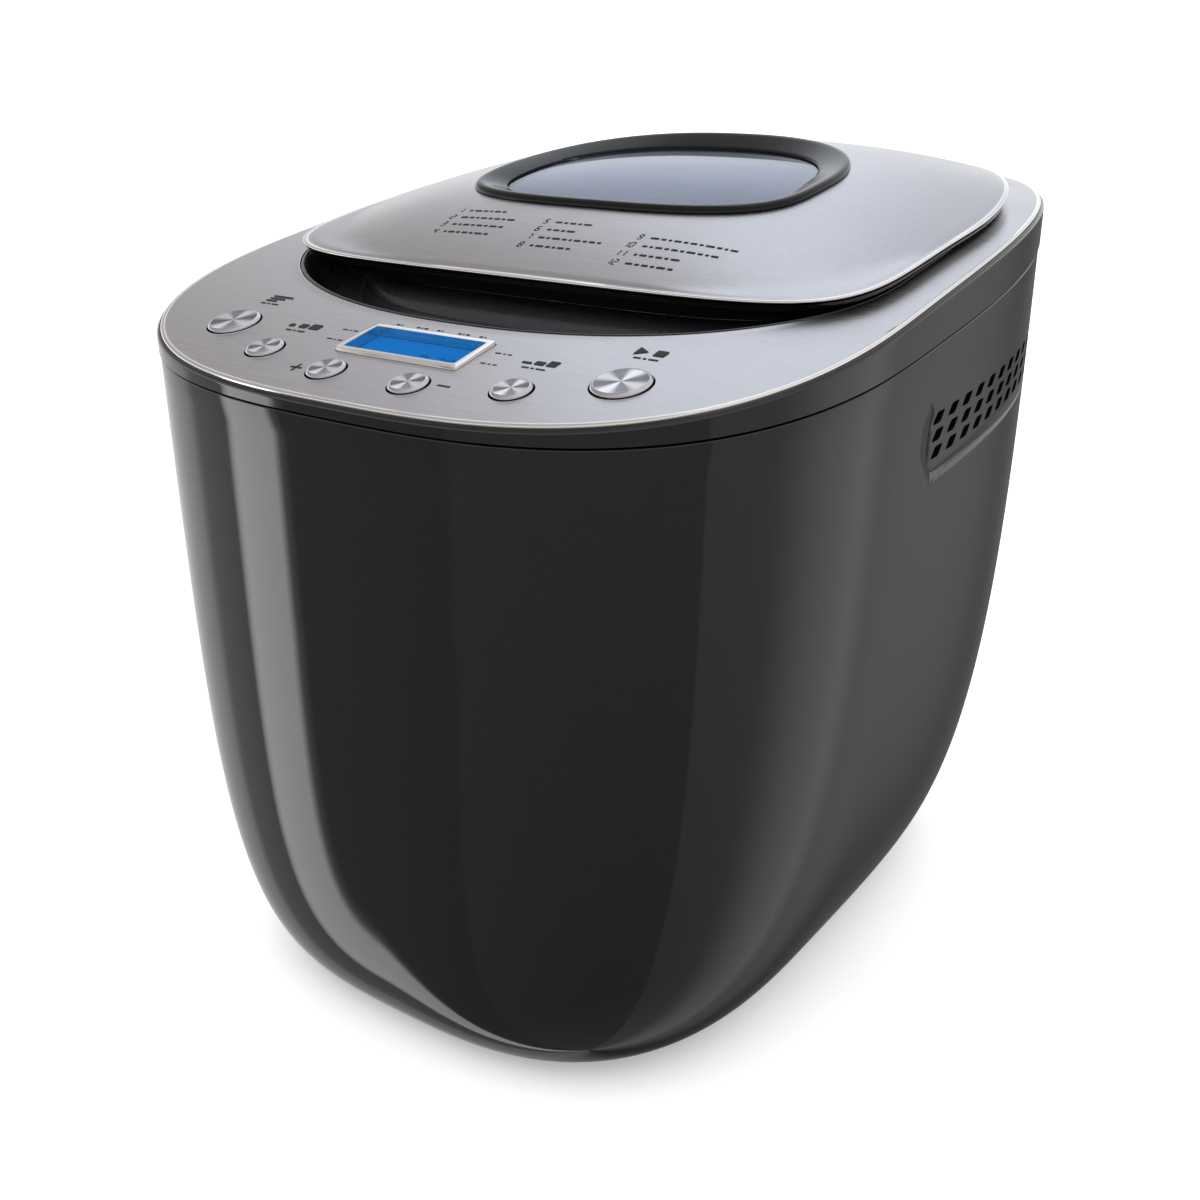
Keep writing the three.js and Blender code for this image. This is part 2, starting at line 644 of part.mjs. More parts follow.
function lidGasket() {
  const band = (grow, drop) => ringAt(outline(OPENING, grow), (y) => fasciaZ(y) - drop);
  return skin([band(1, 8.7), band(1, 7.7), band(6, 7.7), band(6, 8.7)], true);
}

function hingePockets() {
  return [-HINGE.x, HINGE.x].flatMap((x) => [
    block(x - 2.4, x + 2.4, 128.8, 140, 268, 279.5),
    block(x - 5.4, x + 5.4, 135.2, 152, 268, 279.5),
  ]);
}

function hingeArm(x) {
  const profile = [[0, 2.8], [-6, 2.6], [-11.6, 2.2], [-11.6, -2], [-6, -2.6], [0, -2.8]];
  const blank = joined([extruded(profile, 4), extruded(circle(2.8, 0, 0, 16), 4)]);
  const bore = extruded(circle(HINGE.r + 0.08, 0, 0, 16), 8).translate(0, 0, -2);
  return cut(blank, [bore]).rotateX(Math.PI / 2).rotateZ(Math.PI / 2).translate(x - 2, HINGE.y, HINGE.z);
}

function hingeBracket(x) {
  const { y, z } = HINGE;
  const part = (x0, x1, z0, z1) => block(x + x0, x + x1, y - 3.5, y + 2.5, z + z0, z + z1);
  const blank = joined([part(-4.6, -2.6, -8, 2), part(2.6, 4.6, -8, 2), part(-4.6, 4.6, -8, -6.4)]);
  const bore = rod(HINGE.r + 0.02, -8, 8, 0, 0, 16).rotateY(Math.PI / 2).translate(x, y, z);
  return cut(blank, [bore]);
}

const hingePin = (x) => rod(HINGE.r, -5, 5, 0, 0, 16).rotateY(Math.PI / 2).translate(x, HINGE.y, HINGE.z);

// ---- assembly -----------------------------------------------------------------------------
const PAINT = {
  gloss_black: ['#151416', 0.18, 0],
  matt_black: ['#1c1c1e', 0.6, 0],
  brushed_steel: ['#b7b6b8', 0.32, 1],
  plain_steel: ['#8f9092', 0.4, 1],
  spun_aluminium: ['#cfcfd1', 0.25, 1],
  nonstick: ['#3a3a3c', 0.55, 0.3],
  rubber: ['#202020', 0.85, 0],
  display: ['#0f6fb4', 0.3, 0],
  board: ['#2f6b45', 0.6, 0],
  glass: ['#aeb9c6', 0.05, 0],
  brass: ['#b79a58', 0.4, 1],
  white_nylon: ['#dcd8cc', 0.6, 0],
};

const group = new THREE.Group();
group.name = 'bread_machine';

function add(name, geometry, paint) {
  const [color, roughness, metalness] = PAINT[paint];
  const mesh = new THREE.Mesh(geometry, new THREE.MeshStandardMaterial({ color, roughness, metalness }));
  if (paint === 'glass') Object.assign(mesh.material, { transparent: true, opacity: 0.35 });
  mesh.name = name;
  group.add(mesh);
}

add('body_shell', bodyShell(), 'gloss_black');
add('base_plate', basePlate(), 'matt_black');
for (const [name, x, y] of FEET) add(name, foot(x, y), 'rubber');
add('mains_gland', mainsGland(), 'rubber');
add('upper_housing', cut(upperHousing(), [...keyHoles(2.6), displayOpening(0.6)]), 'gloss_black');
add('steel_fascia', cut(fasciaSheet(), [...keyHoles(0.6), displayOpening(0)]), 'brushed_steel');
for (const b of BUTTONS) add(b.name, button(b), 'spun_aluminium');
add('display_frame', displayBezel(), 'spun_aluminium');
add('display_lens', displayPlate(5 + 2 * GAP, -1.6, -0.4), 'glass');
add('display_module', displayPlate(4, -8, -2.7), 'display');
add('control_board', controlBoard(), 'board');
add('power_board', powerBoard(), 'board');

add('oven_chamber', chamber(), 'plain_steel');
add('heating_element', heatingElement(), 'plain_steel');
add('temperature_sensor', temperatureSensor(), 'brass');

add('drive_stand', stand(56, -22, 82, 12, 66, DRIVE_Y, 7 + GAP), 'plain_steel');
add('drive_bush', tube(SHAFT_R + 0.06, 7, 33, 65, 0, DRIVE_Y), 'brass');
add('drive_shaft', rod(SHAFT_R, 13, 93, 0, DRIVE_Y), 'plain_steel');
add('drive_pulley', pulley(BIG_PULLEY_R, 16, 27.8, SHAFT_R + 0.02, DRIVE_Y, true), 'white_nylon');
add('drive_coupling', wing(17, 79, 86, SHAFT_R + 0.02), 'plain_steel');
add('drive_belt', belt(), 'rubber');
add('motor_stand', stand(36, -132, -66, 8, 34.2, MOTOR_Y, 6), 'plain_steel');
add('motor', motor(), 'plain_steel');
add('motor_shaft', rod(3, 13, 108, 0, MOTOR_Y), 'plain_steel');
add('motor_pulley', pulley(SMALL_PULLEY_R, 16, 27.8, 3.02, MOTOR_Y, false), 'white_nylon');

add('bread_pan', breadPan(), 'nonstick');
add('pan_foot', panFoot(), 'plain_steel');
add('pan_bush', tube(3.66, 8, PAN_FLOOR - 4, PAN_FLOOR + 3.2, 0, DRIVE_Y), 'brass');
add('pan_spindle', rod(3.6, 94.5, 124, 0, DRIVE_Y), 'plain_steel');
add('pan_bail', panBail(), 'plain_steel');
add('kneading_paddle', paddle(), 'nonstick');

add('lid_shell', cut(lidShell(), hingePockets()), 'gloss_black');
add('lid_skin', lidSkin(), 'brushed_steel');
add('window_frame', windowFrame(), 'gloss_black');
add('window_glass', outerGlass(), 'glass');
add('window_inner_glass', innerGlass(), 'glass');
add('lid_liner', lidLiner(), 'plain_steel');
add('lid_gasket', lidGasket(), 'rubber');
for (const [side, x] of [['left', -HINGE.x], ['right', HINGE.x]]) {
  add(`hinge_arm_${side}`, hingeArm(x), 'plain_steel');
  add(`hinge_bracket_${side}`, hingeBracket(x), 'matt_black');
  add(`hinge_pin_${side}`, hingePin(x), 'plain_steel');
}

export default group;
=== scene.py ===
import math

import bmesh
import bpy
from mathutils import Matrix, Vector


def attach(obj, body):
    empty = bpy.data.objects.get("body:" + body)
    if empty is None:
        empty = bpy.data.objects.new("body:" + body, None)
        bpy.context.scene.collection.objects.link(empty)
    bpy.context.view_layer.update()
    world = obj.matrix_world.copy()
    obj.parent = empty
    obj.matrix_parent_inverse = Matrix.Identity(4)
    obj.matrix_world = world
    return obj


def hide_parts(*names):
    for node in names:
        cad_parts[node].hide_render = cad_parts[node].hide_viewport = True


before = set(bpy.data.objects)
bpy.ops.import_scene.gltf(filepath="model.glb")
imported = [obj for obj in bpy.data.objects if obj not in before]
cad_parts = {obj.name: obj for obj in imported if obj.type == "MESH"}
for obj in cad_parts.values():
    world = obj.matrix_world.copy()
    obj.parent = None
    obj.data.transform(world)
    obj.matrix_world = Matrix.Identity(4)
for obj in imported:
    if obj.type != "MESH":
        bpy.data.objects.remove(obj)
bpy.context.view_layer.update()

MM = 0.001

# Dimensions in millimetres, shared with the CAD model.
FASCIA = dict(hw=135, ym=-52.5, bf=115.3, bb=220.4, nf=2.8, nb=2.62)
WELL = dict(hw=119, ym=-35.2, bf=75.8, bb=190, nf=2.25, nb=2.6)
LID = dict(hw=121, ym=5, bf=84.5, bb=141.2, nf=6, nb=2.2)
WINDOW = dict(hw=70, ym=4, bf=41, bb=66, nf=3.2, nb=2.3)
OPENING = dict(hw=90, ym=30, bf=82, bb=82, nf=4.5, nb=4.5)
CHAMBER = dict(hw=84, ym=30, bf=76, bb=76, nf=4.5, nb=4.5)
PAN = dict(hw=67, ym=30, bf=59, bb=59, nf=4.5, nb=4.5)
SKIRT = dict(hw=108, ym=4, bf=75, bb=127, nf=5, nb=2.3)
RIM_OUT = 1.25
SHEET = 0.9
LEDGE_DEPTH = 9
TROUGH_DEPTH = 15
LID_RISE = 4.5
DOME = 16
DOME_Y = 35
GLASS_INSET = 11
DISPLAY_Y = -130
BUTTONS = [
    ("menu", -79, -132.5, 9.0), ("size", -50.3, -145.5, 6.3), ("plus", -16.8, -151.7, 6.3),
    ("minus", 16.8, -151.7, 6.3), ("crust", 50.3, -145.5, 6.3), ("start", 79, -132.5, 9.0),
]


def fascia_z(y):
    return 265.07 + 0.13326 * y - 0.00038418 * y * y


def seam_z(y):
    return 249.88 + 0.11777 * y - 0.0001185 * y * y


def slope_at(y):
    return math.atan(0.13326 - 2 * 0.00038418 * y)


def smooth_step(low, high, value):
    u = min(1.0, max(0.0, (value - low) / (high - low)))
    return u * u * (3 - 2 * u)


def lid_distance(x, y):
    dy = y - DOME_Y
    reach = DOME_Y - (LID["ym"] - LID["bf"]) if dy < 0 else LID["ym"] + LID["bb"] - DOME_Y
    n = 3.4 if dy < 0 else 2.3
    return min(1.0, (abs(x / LID["hw"]) ** n + abs(dy / reach) ** n) ** (1 / n))


def lid_z(x, y):
    return fascia_z(y) + LID_RISE + DOME * (1 - lid_distance(x, y) ** 2.2)


# ---- camera ---------------------------------------------------------------------------------
CAMERA_AT = Vector((0.2968, -0.4520, 0.3310))
CAMERA_TURN = math.radians(35.163)
CAMERA_TILT = math.radians(21.821)


def place_camera():
    data = bpy.data.cameras.new("camera")
    data.sensor_width = 36
    data.lens = 36 * 1415 / 1200
    data.clip_start = 0.01
    camera = bpy.data.objects.new("camera", data)
    back = Vector((
        math.sin(CAMERA_TURN) * math.cos(CAMERA_TILT), -math.cos(CAMERA_TURN) * math.cos(CAMERA_TILT),
        math.sin(CAMERA_TILT)))
    camera.matrix_world = Matrix.LocRotScale(CAMERA_AT, (-back).to_track_quat("-Z", "Y"), None)
    bpy.context.collection.objects.link(camera)
    bpy.context.scene.camera = camera


place_camera()


# ---- materials ------------------------------------------------------------------------------
def linear(hex_colour):
    parts = [int(hex_colour[i:i + 2], 16) / 255 for i in (1, 3, 5)]
    return tuple(c / 12.92 if c <= 0.04045 else ((c + 0.055) / 1.055) ** 2.4 for c in parts) + (1.0,)


def node(tree, kind, settings=None, links=None):
    """Adds a node with its settings and the sockets that feed it."""
    made = tree.nodes.new(kind)
    for key, value in (settings or {}).items():
        if isinstance(key, int) or key in made.inputs:
            made.inputs[key].default_value = value
        else:
            setattr(made, key, value)
    for key, source in (links or {}).items():
        tree.links.new(source, made.inputs[key])
    return made


SOCKETS = {"ior": "IOR", "specular_ior_level": "Specular IOR Level"}


def finish(name, colour, **sockets):
    material = bpy.data.materials.new(name)
    material.use_nodes = True
    tree = material.node_tree
    tree.nodes.clear()
    shader = node(tree, "ShaderNodeBsdfPrincipled", {"Base Color": linear(colour)})
    for key, value in sockets.items():
        shader.inputs[SOCKETS.get(key, key.replace("_", " ").title())].default_value = value
    node(tree, "ShaderNodeOutputMaterial", None, {"Surface": shader.outputs[0]})
    return material, tree, shader


def grain(tree, scale, stretch=(1, 1, 1), detail=4.0, roughness=0.6):
    """Noise on Object coordinates; scale is cycles per metre, stretch lengthens it along an axis."""
    place = node(tree, "ShaderNodeTexCoord")
    mapped = node(tree, "ShaderNodeMapping", {"Scale": stretch}, {"Vector": place.outputs["Object"]})
    return node(tree, "ShaderNodeTexNoise", {"Scale": scale, "Detail": detail, "Roughness": roughness},
                {"Vector": mapped.outputs[0]})


def spread(tree, source, low, high, start=0.3, end=0.7):
    """Turns a 0 to 1 pattern into the range low to high."""
    made = node(tree, "ShaderNodeMapRange",
                {"From Min": start, "From Max": end, "To Min": low, "To Max": high}, {"Value": source})
    return made.outputs[0]


def tint(tree, source, first, second, start=0.3, end=0.7):
    ramp = node(tree, "ShaderNodeValToRGB", None, {"Fac": source})
    ramp.color_ramp.elements[0].position = start
    ramp.color_ramp.elements[0].color = linear(first)
    ramp.color_ramp.elements[1].position = end
    ramp.color_ramp.elements[1].color = linear(second)
    return ramp.outputs[0]


def raise_bumps(tree, shader, height, strength, distance, after=None):
    links = {"Height": height}
    if after is not None:
        links["Normal"] = after
    bump = node(tree, "ShaderNodeBump", {"Strength": strength, "Distance": distance}, links)
    tree.links.new(bump.outputs[0], shader.inputs["Normal"])
    return bump.outputs[0]


def polished_abs():
    # High-gloss injection-moulded ABS from a polished tool: near-black, sharp reflections that
    # waver a little, with a faint haze of wiping marks and dust.
    material, tree, shader = finish("polished_abs", "#0c0b0c", roughness=0.06, ior=1.53)
    wipe = grain(tree, 22, (1, 1, 0.35), 6)
    dust = grain(tree, 900, (1, 1, 1), 2)
    tree.links.new(spread(tree, wipe.outputs[0], 0.02, 0.05), shader.inputs["Roughness"])
    tree.links.new(tint(tree, dust.outputs[0], "#0b0a0b", "#121112", 0.45, 0.8),
                   shader.inputs["Base Color"])
    ripple = grain(tree, 30, (1, 1, 1), 1)
    raise_bumps(tree, shader, ripple.outputs[0], 0.02, 0.0008)
    return material


def satin_abs():
    # The window surround: ABS from a finely blasted tool, so it stays black in bright light.
    material, tree, shader = finish("satin_abs", "#0b0b0c", roughness=0.16, ior=1.5,
                                    specular_ior_level=0.22)
    fine = grain(tree, 1200, (1, 1, 1), 2)
    tree.links.new(spread(tree, fine.outputs[0], 0.1, 0.22), shader.inputs["Roughness"])
    raise_bumps(tree, shader, fine.outputs[0], 0.04, 0.0001)
    return material


def textured_abs(name="textured_abs", low="#161517", high="#242325"):
    # Spark-eroded ABS: fine matt pebble that scatters light evenly.
    material, tree, shader = finish(name, "#1c1b1d", roughness=0.55, ior=1.5)
    pebble = grain(tree, 1400, (1, 1, 1), 3)
    tree.links.new(tint(tree, pebble.outputs[0], low, high), shader.inputs["Base Color"])
    tree.links.new(spread(tree, pebble.outputs[0], 0.45, 0.68), shader.inputs["Roughness"])
    raise_bumps(tree, shader, pebble.outputs[0], 0.35, 0.0002)
    return material


def brushed_stainless():
    # Stainless sheet brushed across the width with a fine belt: hair lines 0.2 to 0.4 mm apart,
    # 10 to 30 mm long, that stretch highlights from front to back.
    material, tree, shader = finish("brushed_stainless", "#c2c1c3", metallic=1.0, roughness=0.3)
    hair = grain(tree, 4200, (0.02, 1, 1), 4, 0.7)
    long_hair = grain(tree, 1800, (0.03, 1, 1), 3, 0.6)
    cloud = grain(tree, 14, (1, 1, 1), 3)
    both = node(tree, "ShaderNodeMath", {"operation": "ADD"}, {0: hair.outputs[0], 1: long_hair.outputs[0]})
    mean = node(tree, "ShaderNodeMath", {"operation": "MULTIPLY", 1: 0.5}, {0: both.outputs[0]})
    shade = tint(tree, mean.outputs[0], "#bab9bb", "#c9c8cb", 0.36, 0.64)
    tree.links.new(shade, shader.inputs["Base Color"])
    rough = node(tree, "ShaderNodeMath", {"operation": "ADD"},
                 {0: spread(tree, mean.outputs[0], 0.24, 0.32),
                  1: spread(tree, cloud.outputs[0], -0.02, 0.05)})
    tree.links.new(rough.outputs[0], shader.inputs["Roughness"])
    raise_bumps(tree, shader, mean.outputs[0], 0.12, 0.00008)
    return material


def polished_stainless():
    # The rolled edge of the sheet, buffed smoother; its colour, lighter and warmer than bare stainless, is
    # a painted highlight along the edge.
    material, tree, shader = finish("polished_stainless", "#e6e4df", metallic=1.0, roughness=0.12)
    haze = grain(tree, 500, (0.1, 1, 1), 3)
    tree.links.new(spread(tree, haze.outputs[0], 0.09, 0.18), shader.inputs["Roughness"])
    return material


def spun_aluminium():
    # Aluminium cap faced on a lathe: turning marks round the middle gather the light into cones, which the
    # base colour also paints as four light and dark wedges.
    # The map runs round each cap in u and outwards in v, so tool marks follow the turning.
    material, tree, shader = finish(
        "spun_aluminium", "#c6c6c9", metallic=1.0, roughness=0.3, anisotropic=0.95)
    around = node(tree, "ShaderNodeTangent", {"direction_type": "UV_MAP", "uv_map": "turning"})
    tree.links.new(around.outputs[0], shader.inputs["Tangent"])
    place = node(tree, "ShaderNodeUVMap", {"uv_map": "turning"})
    parts = node(tree, "ShaderNodeSeparateXYZ", None, {0: place.outputs[0]})
    # Painted highlight and painted shade: the base colour runs light and dark four times round each cap.
    painted_cone_phase = node(tree, "ShaderNodeMath", {"operation": "MULTIPLY_ADD", 1: 8 * math.pi, 2: 0.7},
                 {0: parts.outputs[0]})
    painted_cone_wedges = node(tree, "ShaderNodeMath", {"operation": "COSINE"}, {0: painted_cone_phase.outputs[0]})
    tree.links.new(tint(tree, spread(tree, painted_cone_wedges.outputs[0], 0, 1, -1, 1), "#88888d", "#f2f2f4", 0.2, 0.9),
                   shader.inputs["Base Color"])
    marks = node(tree, "ShaderNodeMath", {"operation": "MULTIPLY", 1: 9000.0}, {0: parts.outputs[1]})
    ridge = node(tree, "ShaderNodeMath", {"operation": "SINE"}, {0: marks.outputs[0]})
    tree.links.new(spread(tree, ridge.outputs[0], 0.27, 0.34, -1, 1), shader.inputs["Roughness"])
    return material


def turned_edge():
    # Diamond-cut chamfer round each key.
    material, tree, shader = finish("turned_edge", "#c9c9cc", metallic=1.0, roughness=0.1)
    fine = grain(tree, 900, (1, 1, 1), 2)
    tree.links.new(spread(tree, fine.outputs[0], 0.07, 0.14), shader.inputs["Roughness"])
    return material


def satin_steel(name, colour, low, high, rough, scale=60):
    # Pressed steel as rolled: soft mottled reflections.
    material, tree, shader = finish(name, colour, metallic=1.0, roughness=rough)
    mottle = grain(tree, scale, (1, 1, 1), 5)
    tree.links.new(tint(tree, mottle.outputs[0], low, high), shader.inputs["Base Color"])
    tree.links.new(spread(tree, mottle.outputs[0], rough - 0.03, rough + 0.03), shader.inputs["Roughness"])
    raise_bumps(tree, shader, grain(tree, 700, (1, 1, 0.1), 3).outputs[0], 0.1, 0.0001)
    return material


def nonstick_coat():
    # Sprayed non-stick coating on cast aluminium: dark, low sheen, with fine pale speckle.
    material, tree, shader = finish("nonstick_coat", "#2c2b2d", roughness=0.42, ior=1.4)
    speck = grain(tree, 2200, (1, 1, 1), 1)
    tree.links.new(tint(tree, speck.outputs[0], "#262527", "#5a595c", 0.62, 0.78),
                   shader.inputs["Base Color"])
    orange = grain(tree, 600, (1, 1, 1), 2)
    raise_bumps(tree, shader, orange.outputs[0], 0.15, 0.0002)
    return material


def clear_glass(name, colour, rough=0.0, ior=1.5, through=1.0):
    # Clear sheet, tinted in depth, with faint wiped smears in its gloss.
    material, tree, shader = finish(
        name, colour, roughness=rough, ior=ior, transmission_weight=through)
    smear = grain(tree, 18, (1, 1, 1), 5)
    tree.links.new(spread(tree, smear.outputs[0], rough, rough + 0.03, 0.4, 0.8),
                   shader.inputs["Roughness"])
    return material


def lit_display():
    # Liquid crystal cell with a blue backlight behind a clear window.
    material, tree, shader = finish("lit_display", "#05355c", roughness=0.35, ior=1.45,
                                    specular_ior_level=0.0)
    shader.inputs["Emission Color"].default_value = linear("#0868b4")
    shader.inputs["Emission Strength"].default_value = 0.9
    grid = grain(tree, 3000, (1, 1, 1), 1)
    tree.links.new(tint(tree, grid.outputs[0], "#04325a", "#063c66"), shader.inputs["Base Color"])
    return material


def plain(name, low, high, rough, scale=300, metallic=0.0, bump=0.1, ior=1.5, specular=0.5):
    material, tree, shader = finish(
        name, low, roughness=rough, metallic=metallic, ior=ior, specular_ior_level=specular)
    pattern = grain(tree, scale, (1, 1, 1), 4)
    tree.links.new(tint(tree, pattern.outputs[0], low, high), shader.inputs["Base Color"])
    tree.links.new(spread(tree, pattern.outputs[0], rough - 0.06, rough + 0.06), shader.inputs["Roughness"])
    if bump:
        raise_bumps(tree, shader, pattern.outputs[0], bump, 0.0002)
    return material


GLOSS = polished_abs()
SATIN = satin_abs()
MATT = textured_abs()
# The trough is the same glossy black moulding as the deck; this lighter grey is painted sheen standing in
# for the light it reflects.
RECESS_PAINTED_SHEEN = plain("recess_painted_sheen_abs", "#28272a", "#323134", 0.3, 900, bump=0.03)
STEEL = brushed_stainless()
BRIGHT_PAINTED_HIGHLIGHT = polished_stainless()
SPUN = spun_aluminium()
CUT_EDGE = turned_edge()
CHAMBER_STEEL = satin_steel("aluminised_steel", "#9a9a9c", "#929294", "#a0a0a2", 0.34)
PLAIN_STEEL = satin_steel("plated_steel", "#8c8c8e", "#7c7c7e", "#9c9c9e", 0.36, 200)
COATING = nonstick_coat()
GLASS = clear_glass("soda_lime_glass", "#93a6cb", through=0.97)
# The lens is coated against reflections, so it hardly mirrors the room.
LENS = clear_glass("coated_acrylic", "#f4f8fb", ior=1.03)
DISPLAY = lit_display()
# Natural and moulded rubber: matt, greying a little where it is handled.
RUBBER = plain("moulded_rubber", "#1b1b1c", "#2a2a2b", 0.8, 500)
SILICONE = plain("silicone_seal", "#3b3c3e", "#48494b", 0.6, 300)
BRASS = plain("turned_brass", "#a8884a", "#bd9c5c", 0.3, 800, 1.0)
NYLON = plain("moulded_nylon", "#d3cebf", "#e2ddd0", 0.5, 200)
BOARD = plain("circuit_board", "#1f5a38", "#2b6f48", 0.45, 120)
# Pad-printed ink: dense dark grey with slightly ragged cover.
INK = plain("printed_ink", "#171618", "#222123", 0.5, 2500, bump=0.0, specular=0.15)
DIGIT = plain("display_digit", "#05355f", "#063a66", 0.4, 2000, bump=0.0)
DIGIT.node_tree.nodes["Principled BSDF"].inputs["Emission Color"].default_value = linear("#05407a")
DIGIT.node_tree.nodes["Principled BSDF"].inputs["Emission Strength"].default_value = 0.7
DIGIT.node_tree.nodes["Principled BSDF"].inputs["Specular IOR Level"].default_value = 0.0


# ---- making meshes --------------------------------------------------------------------------
def outline(shape, grow=0.0, count=192):
    """Points evenly spaced along each quarter of the outline, from +X round to +Y."""
    points = []
    fine = 240
    for quarter in range(4):
        path = []
        for i in range(fine + 1):
            angle = (quarter + i / fine) * math.pi / 2
            c = math.cos(angle)
            s = math.sin(angle)
            below = quarter >= 2
            n = shape["nf"] if below else shape["nb"]
            depth = (shape["bf"] if below else shape["bb"]) + grow
            x = (shape["hw"] + grow) * math.copysign(abs(c) ** (2 / n), c)
            y = shape["ym"] + depth * math.copysign(abs(s) ** (2 / n), s)
            path.append((x, y))
        lengths = [0.0]
        for a, b in zip(path, path[1:]):
            lengths.append(lengths[-1] + math.dist(a, b))
        step = 0
        share = count // 4
        for i in range(share):
            goal = lengths[-1] * i / share
            while lengths[step + 1] < goal:
                step += 1
            f = (goal - lengths[step]) / max(1e-9, lengths[step + 1] - lengths[step])
            a, b = path[step], path[step + 1]
            points.append((a[0] + (b[0] - a[0]) * f, a[1] + (b[1] - a[1]) * f))
    return points


def between(first, second, f):
    return [(a[0] + (b[0] - a[0]) * f, a[1] + (b[1] - a[1]) * f) for a, b in zip(first, second)]


def ring_at(points, height):
    return [(x, y, height(x, y) if callable(height) else height) for x, y in points]


def fillet(profile, radius, steps=4, closed=False):
    """Rounds the corners of a two-dimensional profile."""
    rounded = []
    count = len(profile)
    for i, corner in enumerate(profile):
        if not closed and i in (0, count - 1):
            rounded.append(corner)
            continue
        here = Vector(corner)
        before, after = Vector(profile[i - 1]) - here, Vector(profile[(i + 1) % count]) - here
        reach = min(radius, before.length * 0.45, after.length * 0.45)
        if reach < 1e-4:
            rounded.append(corner)
            continue
        start, end = here + before.normalized() * reach, here + after.normalized() * reach
        for k in range(steps + 1):
            t = k / steps
            rounded.append(tuple(start * (1 - t) ** 2 + here * 2 * t * (1 - t) + end * t * t))
    return rounded


def new_object(name, bm, materials, sharp=35.0, smooth=True):
    bmesh.ops.recalc_face_normals(bm, faces=bm.faces)
    for face in bm.faces:
        face.smooth = smooth
    for edge in bm.edges:
        if len(edge.link_faces) == 2 and edge.calc_face_angle(0) > math.radians(sharp):
            edge.smooth = False
    mesh = bpy.data.meshes.new(name)
    bm.to_mesh(mesh)
    bm.free()
    piece = bpy.data.objects.new(name, mesh)
    bpy.context.collection.objects.link(piece)
    for material in materials if isinstance(materials, (list, tuple)) else [materials]:
        mesh.materials.append(material)
    return piece


def wrapped(rings, closed=True):
    """A grid wrapped round stacked rings of points in millimetres. A closed stack is a hoop."""
    around, up = len(rings[0]), len(rings)
    bm = bmesh.new()
    rows = up if closed else up - 1
    bmesh.ops.create_grid(bm, x_segments=around, y_segments=rows, size=1)
    for vert in bm.verts:
        i = round((vert.co.x + 1) / 2 * around) % around
        j = round((vert.co.y + 1) / 2 * rows) % up
        vert.co = Vector(rings[j][i]) * MM
    bmesh.ops.remove_doubles(bm, verts=bm.verts, dist=2e-6)
    return bm


def loft(name, rings, materials, closed=True, sharp=35.0):
    return new_object(name, wrapped(rings, closed), materials, sharp)


def spun(profile, x, y, segments=64):
    """A profile of (radius, height) in millimetres spun about the vertical at x, y."""
    bm = bmesh.new()
    verts = [bm.verts.new((r * MM, 0, z * MM)) for r, z in profile]
    edges = [bm.edges.new(pair) for pair in zip(verts, verts[1:])]
    bmesh.ops.spin(bm, geom=verts + edges, cent=(0, 0, 0), axis=(0, 0, 1), angle=2 * math.pi,
                   steps=segments,
                   use_merge=True)
    bmesh.ops.remove_doubles(bm, verts=bm.verts, dist=2e-6)
    bmesh.ops.translate(bm, verts=bm.verts, vec=(x * MM, y * MM, 0))
    return bm


def fascia_place(x, y, lift=0.0):
    """Where +Z is square to the fascia at x, y."""
    return (Matrix.Translation((x * MM, y * MM, fascia_z(y) * MM)) @ Matrix.Rotation(slope_at(y), 4, "X")
            @ Matrix.Translation((0, 0, lift * MM)))


def moved(bm, matrix):
    bmesh.ops.transform(bm, matrix=matrix, verts=bm.verts)
    return bm


def rounded_block(width, depth, low, high, radius, bevel=0.0, steps=6):
    """A plate with rounded corners, in millimetres, about the origin."""
    bm = bmesh.new()
    bmesh.ops.create_cube(bm, size=1)
    bmesh.ops.scale(bm, vec=(width * MM, depth * MM, (high - low) * MM), verts=bm.verts)
    bmesh.ops.translate(bm, vec=(0, 0, (low + high) / 2 * MM), verts=bm.verts)
    upright = [e for e in bm.edges if abs(e.verts[0].co.z - e.verts[1].co.z) > 1e-6]
    bmesh.ops.bevel(bm, geom=upright, offset=radius * MM, segments=steps, profile=0.5, affect="EDGES",
                    material=-1)
    if bevel:
        level = [e for e in bm.edges if abs(e.verts[0].co.z - e.verts[1].co.z) < 1e-7]
        outer = [e for e in level if e.calc_face_angle(0) > 1.0]
        bmesh.ops.bevel(bm, geom=outer, offset=bevel * MM, segments=2, profile=0.5, affect="EDGES",
                        material=-1)
    return bm


def cut_out(piece, cutters):
    """Cuts the joined cutters out of a piece and keeps the result in its mesh."""
    tool_mesh = bpy.data.meshes.new("cutter")
    joined = bmesh.new()
    for cutter in cutters:
        part = bpy.data.meshes.new("part")
        cutter.to_mesh(part)
        cutter.free()
        joined.from_mesh(part)
        bpy.data.meshes.remove(part)
    bmesh.ops.recalc_face_normals(joined, faces=joined.faces)
    joined.to_mesh(tool_mesh)
    joined.free()
    tool = bpy.data.objects.new("cutter", tool_mesh)
    bpy.context.collection.objects.link(tool)
    cut = piece.modifiers.new("cut", "BOOLEAN")
    cut.operation = "DIFFERENCE"
    cut.solver = "EXACT"
    cut.object = tool
    depsgraph = bpy.context.evaluated_depsgraph_get()
    result = bpy.data.meshes.new_from_object(piece.evaluated_get(depsgraph))
    piece.modifiers.clear()
    old = piece.data
    piece.data = result
    result.name = old.name
    bpy.data.meshes.remove(old)
    bpy.data.objects.remove(tool)
    bpy.data.meshes.remove(tool_mesh)


